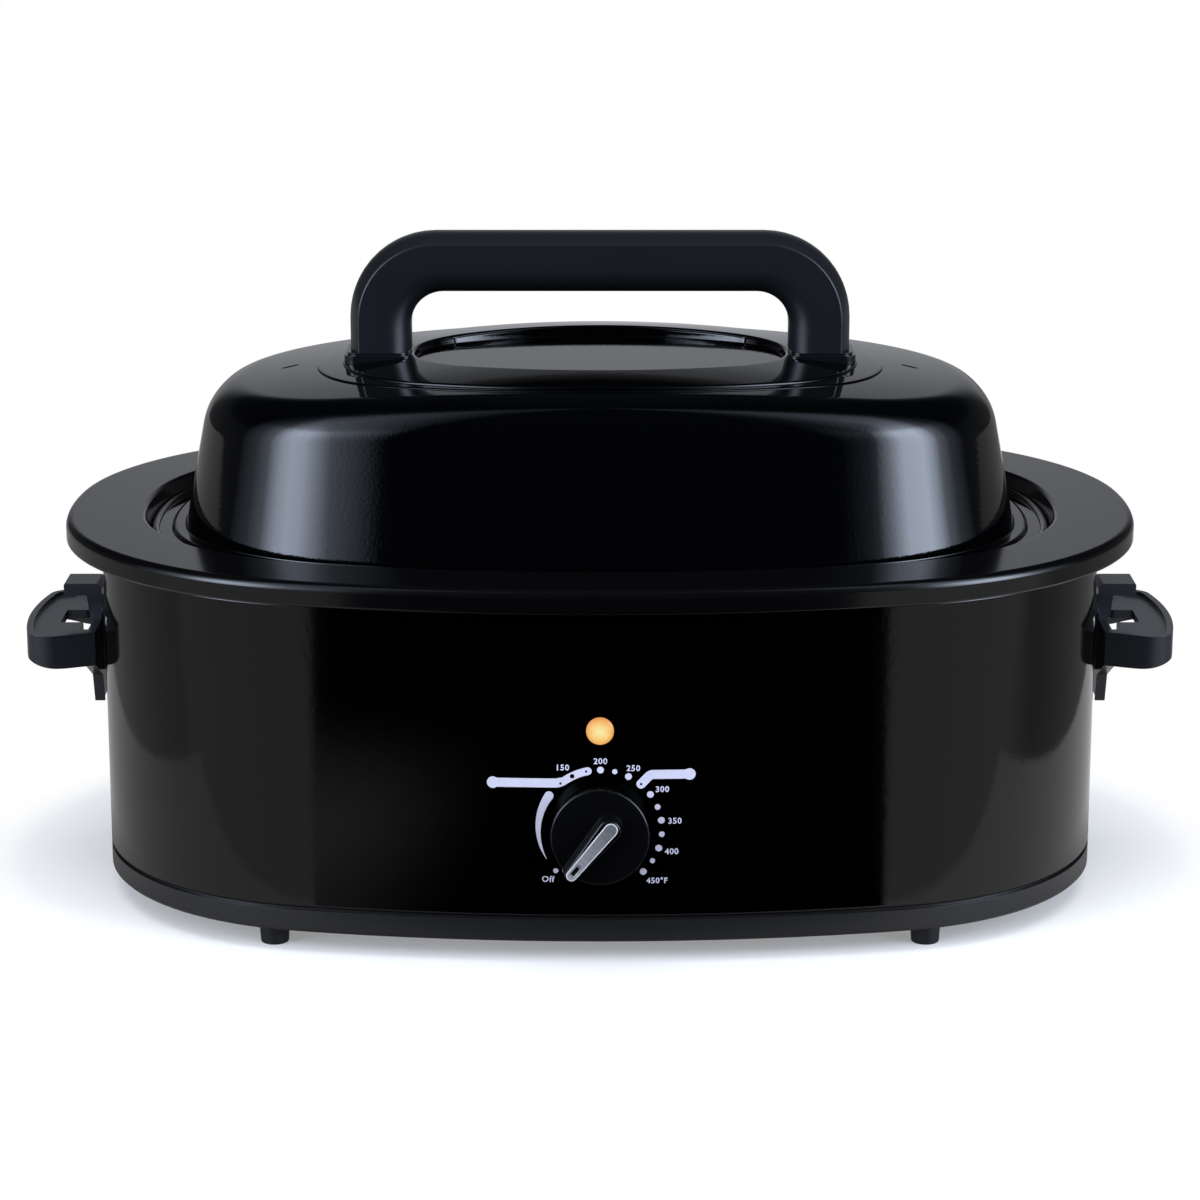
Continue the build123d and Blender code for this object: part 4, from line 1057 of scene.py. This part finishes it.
ARM_WIDTH = 4.0
BAND_END_RADIUS = 2.95
BAND_END_STEPS = 5
LOW_BAND_START = -52.2
LOW_BAND_RISE = 23.6
LOW_BAND_BEND = 4.0
LOW_BAND_CORNER = 2.0  # how far the bend's corner lies before the arm
LOW_ARM_ANGLES = (128.5, 101.5)
PIN_HOLE = 0.6
DOT_HOLE = 1.15
LOW_ARM_HOLES = ((129.5, PIN_HOLE), (116.6, DOT_HOLE), (102.9, PIN_HOLE))  # angle, radius
HIGH_BAND_END = 43.6
HIGH_BAND_RISE = 27.9
HIGH_ARM_TIP = (20.0, 23.1)
HIGH_BAND_CORNER = 24.6
HIGH_BAND_BEND = 3.0
SWEEP_RADIUS = 30.2
SWEEP_ANGLES = (145.4, 210.0)
SWEEP_WIDTH = 4.3
SWEEP_END_WIDTH = 0.15
SWEEP_TAPER = 0.8
SWEEP_STEPS = 28
ARM_STEPS = 10
CAP_STEPS = 12
HOLE_POINTS = 18


def on_front(x, z):
    """A point of the front wall's ink."""
    return Vector((x, body.front_y(x) - INK_HEIGHT, z))


def ink_strip(name, centres, widths, holes=()):
    """A band of ink along a line, with round ends, as a flat mesh in x and height."""
    left, right = [], []
    for index, centre in enumerate(centres):
        before = centres[max(index - 1, 0)]
        after = centres[min(index + 1, len(centres) - 1)]
        along = (after - before).normalized()
        side = Vector((-along.y, along.x)) * widths[index] / 2
        left.append(centre + side)
        right.append(centre - side)
    caps = []
    for centre, width, along in (
        (centres[-1], widths[-1], centres[-1] - centres[-2]),
        (centres[0], widths[0], centres[0] - centres[1]),
    ):
        heading = atan2(along.y, along.x)
        turns = [heading + pi / 2 - pi * step / CAP_STEPS for step in range(1, CAP_STEPS)]
        caps.append([centre + Vector((cos(turn), sin(turn))) * width / 2 for turn in turns])
    outline = left + caps[0] + right[::-1] + caps[1]
    form = bmesh.new()
    rings = [outline]
    for spot, radius in holes:
        turns = [2 * pi * step / HOLE_POINTS for step in range(HOLE_POINTS)]
        rings.append([Vector(spot) + Vector((cos(turn), sin(turn))) * radius for turn in turns])
    edges = []
    for ring in rings:
        corners = [form.verts.new((point.x * MM, point.y * MM, 0)) for point in ring]
        for index, corner in enumerate(corners):
            edges.append(form.edges.new((corner, corners[(index + 1) % len(corners)])))
    bmesh.ops.triangle_fill(form, edges=edges, use_beauty=True, use_dissolve=False)
    mesh = bpy.data.meshes.new(name)
    form.to_mesh(mesh)
    form.free()
    return mesh


def wrap_ink(name, mesh):
    """Lays a flat mesh, drawn in x and height, on the front wall as one inked piece."""
    for vertex in mesh.vertices:
        vertex.co = on_front(vertex.co.x / MM, vertex.co.y / MM) * MM
    mesh.update()
    mesh.materials.clear()
    mesh.materials.append(dial_ink)
    piece = bpy.data.objects.new(name, mesh)
    bpy.context.scene.collection.objects.link(piece)
    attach(piece, "base")


def polar(angle, distance):
    """(x, z) on the front wall at an angle and distance from the dial's middle."""
    turn = radians(angle)
    return Vector((distance * cos(turn), DIAL_Z + distance * sin(turn)))


def make_dots():
    """The scale's dots, joined as one print."""
    points, faces = [], []
    for angle, radius in DOTS:
        centre = polar(angle, DOT_CIRCLE)
        first = len(points)
        for step in range(DOT_POINTS):
            turn = 2 * pi * step / DOT_POINTS
            points.append(on_front(centre.x + radius * cos(turn), centre.y + radius * sin(turn)))
        faces.append(tuple(range(first, len(points))))
    dots = new_mesh("scale_dots", points, faces, dial_ink)
    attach(dots, "base")


def make_labels():
    """The scale's numbers, sized by the height of their digits."""
    for text, across, up in LABELS:
        curve = bpy.data.curves.new("label", "FONT")
        curve.body = text
        curve.size = MM
        curve.resolution_u = 3
        curve.offset = LABEL_WEIGHT * MM
        curve.space_character = LABEL_SPACING
        holder = bpy.data.objects.new("label", curve)
        bpy.context.scene.collection.objects.link(holder)
        bpy.context.view_layer.update()
        mesh = bpy.data.meshes.new_from_object(holder.evaluated_get(bpy.context.evaluated_depsgraph_get()))
        bpy.data.objects.remove(holder)
        lefts = [vertex.co.x for vertex in mesh.vertices]
        tops = [vertex.co.y for vertex in mesh.vertices]
        middle = Vector(((min(lefts) + max(lefts)) / 2, (min(tops) + max(tops)) / 2, 0))
        grow = LABEL_HEIGHT * MM / (max(tops) - min(tops))
        place = Vector((across, DIAL_Z + up, 0)) * MM
        for vertex in mesh.vertices:
            vertex.co = (vertex.co - middle) * grow + place
        mesh.name = "scale_" + "".join(letter for letter in text if letter.isalnum())
        wrap_ink(mesh.name, mesh)


def arc_points(radius, first, last, steps):
    """Points of an arc about the dial's middle."""
    return [polar(first + (last - first) * step / steps, radius) for step in range(steps + 1)]


def short_steps(line, step_length):
    """The same line with points added where they lie further apart than step_length."""
    points = [line[0]]
    for before, after in zip(line, line[1:]):
        steps = ceil((after - before).length / step_length)
        points += [before.lerp(after, step / steps) for step in range(1, steps + 1)]
    return points


def knobbed_bar(start, towards):
    """Points and widths along a bar's round, wider end, from the middle of that end."""
    along = (towards - start).normalized()
    reach = sqrt(BAND_END_RADIUS**2 - (BAND_WIDTH / 2) ** 2)
    points, widths = [], []
    for step in range(BAND_END_STEPS + 1):
        distance = reach * step / BAND_END_STEPS
        points.append(start + along * distance)
        widths.append(2 * sqrt(BAND_END_RADIUS**2 - distance**2))
    return points, widths


def make_low_band():
    """The left band, whose arm follows the circle of dots."""
    start = Vector((LOW_BAND_START, DIAL_Z + LOW_BAND_RISE))
    arm = arc_points(DOT_CIRCLE, *LOW_ARM_ANGLES, ARM_STEPS)
    points, widths = knobbed_bar(start, arm[0])
    corner = Vector((arm[0].x - LOW_BAND_CORNER, start.y))
    bend = short_steps(rounded([points[-1], corner, arm[1]], [LOW_BAND_BEND]), BAND_STEP)
    points += bend[1:] + arm[2:]
    widths += [BAND_WIDTH] * (len(bend) - 2) + [ARM_WIDTH] * (len(arm) - 1)
    holes = [(polar(angle, DOT_CIRCLE), radius) for angle, radius in LOW_ARM_HOLES]
    wrap_ink("low_heat_band", ink_strip("low_heat_band", points, widths, holes))


def make_high_band():
    """The right band, with a short arm down towards the dial."""
    start = Vector((HIGH_BAND_END, DIAL_Z + HIGH_BAND_RISE))
    corner = Vector((HIGH_BAND_CORNER, start.y))
    tip = Vector((HIGH_ARM_TIP[0], DIAL_Z + HIGH_ARM_TIP[1]))
    points, widths = knobbed_bar(start, corner)
    bend = short_steps(rounded([points[-1], corner, tip], [HIGH_BAND_BEND]), BAND_STEP)
    points += bend[1:]
    widths += [BAND_WIDTH] * (len(bend) - 1)
    wrap_ink("high_heat_band", ink_strip("high_heat_band", points, widths, [(tip, PIN_HOLE)]))


def make_sweep():
    """The sweep up to the lowest heat, tapering to its end."""
    sweep = arc_points(SWEEP_RADIUS, *SWEEP_ANGLES, SWEEP_STEPS)
    shares = [1 - step / SWEEP_STEPS for step in range(SWEEP_STEPS + 1)]
    widths = [SWEEP_WIDTH * share**SWEEP_TAPER + SWEEP_END_WIDTH for share in shares]
    wrap_ink("heat_sweep", ink_strip("heat_sweep", sweep, widths))


# ---------------------------------------------------------------- small parts and hidden parts
def paint_node(node, finish):
    """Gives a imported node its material."""
    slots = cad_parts[node].data.materials
    slots.clear()
    slots.append(finish)


NODE_FINISHES = {
    "feet": foot_plastic,
    "foot_screws": zinc_steel,
    "well_liner": dull_steel,
    "well_spacers": dull_steel,
    "spacer_screws": zinc_steel,
    "heater_band": dull_steel,
    "heater_clamp_screw": zinc_steel,
    "insulation_blanket": mineral_wool,
    "thermostat": dark_phenolic,
    "sensor_bracket": copper,
    "thermostat_screws": zinc_steel,
    "lens_clip": zinc_steel,
    "neon_lamp": amber_lens,
    "lamp_holder": dark_phenolic,
    "terminal_block": terminal_plastic,
    "terminal_screws": zinc_steel,
    "cord_inlet": foot_plastic,
    "cord_inlet_nut": foot_plastic,
    "side_handle_screws": zinc_steel,
    "control_shaft": zinc_steel,
    "roasting_rack": bright_wire,
    "lid_handle_screws": zinc_steel,
    "lid_handle_washers": zinc_steel,
    "indicator_lens": amber_lens,
}


SOFT_NODES = (  # node, body, slot, finish, width of its rounded edges
    ("base_pan", "base", "shell_paint", base_paint, 0.5),
    ("side_handle_right", "base", "handle_plastic", side_plastic, 0.7),
    ("side_handle_left", "base", "handle_plastic", side_plastic, 0.7),
    ("lid_handle_gaskets", "lid", "gasket_plastic", gasket_plastic, 0.5),
    ("control_knob", "dial", "knob_plastic", knob_plastic, 0.5),
    ("knob_pointer", "dial", "pointer_plastic", pointer_metal, 0.25),
)


def dress_nodes():
    """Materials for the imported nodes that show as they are, and softer copies of the rest."""
    for node, finish in NODE_FINISHES.items():
        paint_node(node, finish)
    for soft_node in SOFT_NODES:
        soften(*soft_node)


# ---------------------------------------------------------------- studio
CAMERA_DISTANCE = 1900.0
CAMERA_HEIGHT = 614.0
CAMERA_PITCH = radians(14.07)
FOCAL_PIXELS = 3674.0
IMAGE_PIXELS = 1200.0
SENSOR = 36.0
CAMERA_REACH = 100.0  # metres

# The studio as the oven mirrors it; the parts of a direction (across, away, up) run from -1 to 1
BACKDROP_TINT = (0.97, 1.0, 1.07, 1.0)
BOX_TINT = (0.875, 1.0, 1.22, 1.0)
ROOM_GLOW = 0.003
BACKDROP_START = (-0.35, 0.25)  # part away from the camera over which the backdrop's glow grows
BACKDROP_EDGE = (0.06, 0.46)  # sideways share, seen in plan, over which it fades
BACKDROP_STOPS = (  # brightness by the rise of the direction, from 0 at the horizon to 1 overhead
    (0.0, 0.46),
    (0.17, 0.41),
    (0.21, 0.38),
    (0.26, 0.33),
    (0.31, 0.28),
    (0.35, 0.14),
    (0.40, 0.06),
    (0.55, 0.01),
)
BOX_RISE_STOPS = (
    (0.0, 0.80),
    (0.25, 0.90),
    (0.42, 1.0),
    (0.50, 0.85),
    (0.58, 0.45),
    (0.70, 0.25),
    (0.85, 0.12),
    (1.0, 0.02),
)
LEFT_BOX_STOPS = (  # brightness by the degrees from the front
    (27, 0.0),
    (34, 0.19),
    (44, 0.58),
    (51, 0.90),
    (59, 1.0),
    (66, 0.78),
    (76, 0.19),
    (86, 0.06),
    (100, 0.0),
)
RIGHT_BOX_STOPS = (
    (30, 0.0),
    (38, 0.055),
    (46, 0.35),
    (56, 0.92),
    (70, 1.0),
    (77, 0.62),
    (83, 0.20),
    (92, 0.05),
    (104, 0.0),
)
DIRECTION = [("Direction " + axis, 0.0) for axis in "XYZ"]

# The table top as the oven's walls mirror it: a painted reflection, a glow of the floor that every ray but
# the camera's sees
TABLE_HALF_LENGTH = 520.0
TABLE_FRONT = -245.0
TABLE_FRONT_BLUR = 8.0
SIDE_BLEND = 300.0  # reach of the change from the left brightness to the right one
FAR_SIDE_DEPTH = (-270.0, -110.0)  # where the table's painted glow beside the oven grows dimmer
DARK_PATCH_HALF_LENGTH = 167.0  # painted dark reflection: a black patch in the table's glow in front, opening out towards the camera
DARK_PATCH_BACK = 226.0
DARK_PATCH_FLARE = radians(27.0)
DARK_PATCH_BLUR = 3.0
PAINTED_GLOW_DEPTH = (-620.0, -340.0)
PAINTED_GLOW_SIDE = (80.0, 240.0)  # a painted glow on the table in front, at the left

# The floor and the oven's shadow on it; the shadow is measured in half sizes of the oven's plan
SHADOW_SCALE = (0.97, 1.02)
SHADOW_DEPTH = 0.27  # how bright the contact shadow stays
SHADOW_REACH = (1.15, 1.39)  # shadow kept to here, pure white from there
# the oven's shadow painted into the table's reflected glow, from here to there
MIRRORED_SHADOW = (1.0, 1.35)
PAPER = (0.84, 0.84, 0.845, 1.0)
FLOOR_REACH = 9000.0

LAMP_AIM = (0, 0, 100)
LAMPS = (  # name, place, width, height, power
    ("overhead_lamp", (0, 0, 2000), 2600, 2200, 55),
    ("front_lamp", (0, -1800, 1500), 2200, 900, 16),
)


def make_camera():
    """The camera in front of the oven, looking a little down."""
    lens = bpy.data.cameras.new("camera")
    lens.sensor_width = SENSOR
    lens.lens = FOCAL_PIXELS / IMAGE_PIXELS * SENSOR
    lens.clip_end = CAMERA_REACH
    camera = bpy.data.objects.new("camera", lens)
    camera.location = Vector((0, -CAMERA_DISTANCE, CAMERA_HEIGHT)) * MM
    camera.rotation_euler = (pi / 2 - CAMERA_PITCH, 0, 0)
    bpy.context.scene.collection.objects.link(camera)
    bpy.context.scene.camera = camera


def make_backdrop_sheen():
    """How bright the backdrop is in a reflection: strong near the horizon behind the oven, dark high up."""
    group, given, result = new_group(
        "backdrop_sheen", DIRECTION + [("Brightness", 1.0), ("Side Share", 0.10)], ["Strength"]
    )
    across, ahead, up = (given.outputs["Direction " + axis] for axis in "XYZ")
    height = brightness_ramp(group, up, BACKDROP_STOPS)
    behind = step_between(group, ahead, *BACKDROP_START)
    level = length_of(group, across, ahead)
    sideways = math_node(group, "DIVIDE", math_node(group, "ABSOLUTE", across), level)
    off_middle = step_between(group, sideways, *BACKDROP_EDGE)
    loss = math_node(group, "SUBTRACT", given.outputs["Side Share"], 1.0)
    kept = math_node(group, "MULTIPLY_ADD", off_middle, loss, 1.0)
    lit = math_node(group, "MULTIPLY", math_node(group, "MULTIPLY", height, behind), kept)
    strength = math_node(group, "MULTIPLY", lit, given.outputs["Brightness"])
    group.links.new(strength, result.inputs["Strength"])
    return group


def make_softbox_glow():
    """How bright the soft boxes are in a reflection, by the direction's turn from the front and its rise."""
    group, given, result = new_group(
        "softbox_glow", DIRECTION + [("Left", 8.4), ("Right", 10.0)], ["Strength"]
    )
    across, ahead, up = (given.outputs["Direction " + axis] for axis in "XYZ")
    towards = math_node(group, "MULTIPLY", ahead, -1.0)
    turn = math_node(group, "DIVIDE", math_node(group, "ARCTAN2", across, towards), pi)
    other_turn = math_node(group, "MULTIPLY", turn, -1.0)
    left, right = (
        brightness_ramp(group, way, [(degrees_off / 180, value) for degrees_off, value in stops])
        for way, stops in ((other_turn, LEFT_BOX_STOPS), (turn, RIGHT_BOX_STOPS))
    )
    right_glow = math_node(group, "MULTIPLY", right, given.outputs["Right"])
    both = math_node(group, "MULTIPLY_ADD", left, given.outputs["Left"], right_glow)
    by_rise = brightness_ramp(group, up, BOX_RISE_STOPS)
    group.links.new(math_node(group, "MULTIPLY", both, by_rise), result.inputs["Strength"])
    return group


def mix_shaders(tree, share, first, second):
    """The first shader where the share is 0, the second where it is 1."""
    mix = tree.nodes.new("ShaderNodeMixShader")
    for socket, value in zip(mix.inputs, (share, first, second)):
        tree.links.new(value, socket)
    return mix.outputs[0]


def make_world():
    """White to the camera; to the rest, soft boxes at both sides and a backdrop that glows low behind."""
    world = bpy.data.worlds.new("studio")
    bpy.context.scene.world = world
    world.use_nodes = True
    tree = world.node_tree
    tree.nodes.clear()
    out = tree.nodes.new("ShaderNodeOutputWorld")
    rays = tree.nodes.new("ShaderNodeLightPath")
    direction = parts_of(tree, tree.nodes.new("ShaderNodeTexCoord").outputs["Generated"])
    around = tree.nodes.new("ShaderNodeAddShader")
    parts = ((make_backdrop_sheen(), BACKDROP_TINT), (make_softbox_glow(), BOX_TINT))
    for socket, (group, tint) in zip(around.inputs, parts):
        part = use_group(tree, group)
        for axis in "XYZ":
            tree.links.new(direction[axis], part.inputs["Direction " + axis])
        side = tree.nodes.new("ShaderNodeBackground")
        side.inputs["Color"].default_value = tint
        tree.links.new(math_node(tree, "ADD", part.outputs["Strength"], ROOM_GLOW), side.inputs["Strength"])
        tree.links.new(side.outputs[0], socket)
    white = tree.nodes.new("ShaderNodeBackground")
    white.inputs["Color"].default_value = (1, 1, 1, 1)
    direct = math_node(tree, "MAXIMUM", rays.outputs["Is Camera Ray"], rays.outputs["Is Transmission Ray"])
    seen = mix_shaders(tree, direct, around.outputs[0], white.outputs[0])
    tree.links.new(seen, out.inputs["Surface"])


def make_table_sheen():
    """How bright each part of the table is in a reflection: a painted reflection, with a painted dark patch
    in front, a painted glow at its left and the oven's shadow painted in.
    """
    group, given, result = new_group(
        "table_sheen",
        [
            ("X", 0.0),
            ("Y", 0.0),
            ("Distance", 1.0),
            ("Sheet Left", 0.48),
            ("Sheet Right", 0.66),
            ("Left", 0.36),
            ("Right", 0.42),
            ("Far Side", 0.45),
            ("Painted Glow", 0.26),
        ],
        ["Strength"],
    )
    x, y = given.outputs["X"], given.outputs["Y"]
    across = math_node(group, "ABSOLUTE", x)
    on_width = math_node(group, "LESS_THAN", across, TABLE_HALF_LENGTH * MM)
    front_edge = ((TABLE_FRONT - TABLE_FRONT_BLUR) * MM, (TABLE_FRONT + TABLE_FRONT_BLUR) * MM)
    on_sheet = math_node(group, "MULTIPLY", on_width, step_between(group, y, *front_edge))
    rightward = step_between(group, x, -SIDE_BLEND * MM, SIDE_BLEND * MM)

    def by_side(prefix):
        """A brightness that passes from its left value to its right one."""
        left, right = given.outputs[prefix + "Left"], given.outputs[prefix + "Right"]
        return math_node(group, "MULTIPLY_ADD", rightward, math_node(group, "SUBTRACT", right, left), left)

    beside = step_between(group, y, *(depth * MM for depth in FAR_SIDE_DEPTH))
    loss = math_node(group, "SUBTRACT", given.outputs["Far Side"], 1.0)
    dim = math_node(group, "MULTIPLY", by_side(""), math_node(group, "MULTIPLY_ADD", beside, loss, 1.0))
    lift = math_node(group, "SUBTRACT", by_side("Sheet "), dim)
    open_table = math_node(group, "MULTIPLY_ADD", on_sheet, lift, dim)
    # painted dark reflection: the table's glow is black over this patch in front
    ahead = math_node(group, "SUBTRACT", -DARK_PATCH_BACK * MM, y)
    dark_patch_edge = math_node(group, "MULTIPLY_ADD", ahead, tan(DARK_PATCH_FLARE), DARK_PATCH_HALF_LENGTH * MM)
    beyond = math_node(group, "SUBTRACT", across, dark_patch_edge)
    off_side = step_between(group, beyond, -DARK_PATCH_BLUR * MM, DARK_PATCH_BLUR * MM)
    off_back = math_node(group, "LESS_THAN", ahead, 0.0)
    off_dark_patch = math_node(group, "MAXIMUM", off_side, off_back)
    # painted glow on the table in front, at the left, over the dark patch
    leftward = math_node(group, "MULTIPLY", x, -1.0)
    glow_near = step_between(group, y, *(depth * MM for depth in PAINTED_GLOW_DEPTH))
    glow_left = step_between(group, leftward, *(reach * MM for reach in PAINTED_GLOW_SIDE))
    glow_here = math_node(group, "MULTIPLY", glow_near, glow_left)
    glow = math_node(group, "MULTIPLY", glow_here, given.outputs["Painted Glow"])
    lit = math_node(group, "MULTIPLY", off_dark_patch, open_table)
    # the oven's shadow, painted into the table's glow
    shaded = step_between(group, given.outputs["Distance"], *MIRRORED_SHADOW)
    kept = math_node(group, "MULTIPLY_ADD", shaded, 1.0 - SHADOW_DEPTH, SHADOW_DEPTH)
    brightness = math_node(group, "MULTIPLY", math_node(group, "MAXIMUM", lit, glow), kept)
    group.links.new(brightness, result.inputs["Strength"])
    return group


def make_floor():
    """A white floor that keeps the oven's contact shadow and is pure white beyond it; to every ray but the
    camera's it glows with the table's painted reflection.
    """
    material = bpy.data.materials.new("studio_floor")
    material.use_nodes = True
    tree = material.node_tree
    tree.nodes.clear()
    out = tree.nodes.new("ShaderNodeOutputMaterial")
    rays = tree.nodes.new("ShaderNodeLightPath")
    place = parts_of(tree, object_vector(tree))
    along = math_node(tree, "DIVIDE", place["X"], shell_high.x * SHADOW_SCALE[0] * MM)
    across = math_node(tree, "DIVIDE", place["Y"], shell_high.y * SHADOW_SCALE[1] * MM)
    distance = length_of(tree, along, across)
    sheen = use_group(tree, make_table_sheen())
    for label, value in (("X", place["X"]), ("Y", place["Y"]), ("Distance", distance)):
        tree.links.new(value, sheen.inputs[label])
    shine = tree.nodes.new("ShaderNodeEmission")
    tree.links.new(sheen.outputs["Strength"], shine.inputs["Strength"])
    paper = tree.nodes.new("ShaderNodeBsdfDiffuse")
    paper.inputs["Color"].default_value = PAPER
    white = tree.nodes.new("ShaderNodeEmission")
    clear = step_between(tree, distance, *SHADOW_REACH)
    lift = math_node(tree, "MAXIMUM", clear, SHADOW_DEPTH)
    lifted = mix_shaders(tree, lift, paper.outputs[0], white.outputs[0])
    # every ray but the camera's sees the painted reflection glow; the camera sees the white paper
    seen = mix_shaders(tree, rays.outputs["Is Camera Ray"], shine.outputs[0], lifted)
    tree.links.new(seen, out.inputs["Surface"])
    corners = [(x * FLOOR_REACH, y * FLOOR_REACH, 0) for x, y in ((-1, -1), (1, -1), (1, 1), (-1, 1))]
    new_mesh("floor", corners, [(0, 1, 2, 3)], material)


def add_lamp(name, place, width, height, power):
    """A broad lamp that lights the matt faces and casts the shadow, unseen in reflections."""
    lamp = bpy.data.lights.new(name, "AREA")
    lamp.shape = "RECTANGLE"
    lamp.size = width * MM
    lamp.size_y = height * MM
    lamp.energy = power
    holder = bpy.data.objects.new(name, lamp)
    holder.location = Vector(place) * MM
    aim = Vector(LAMP_AIM) - Vector(place)
    holder.rotation_euler = aim.to_track_quat("-Z", "Y").to_euler()
    holder.visible_camera = False
    holder.visible_glossy = False
    bpy.context.scene.collection.objects.link(holder)


make_shell()
make_pan()
make_lid()
make_vent_slits()
make_lid_handle()
dress_nodes()
make_dots()
make_labels()
make_low_band()
make_high_band()
make_sweep()
make_camera()
make_world()
make_floor()
for lamp in LAMPS:
    add_lamp(*lamp)

bpy.context.scene.view_settings.view_transform = "Standard"
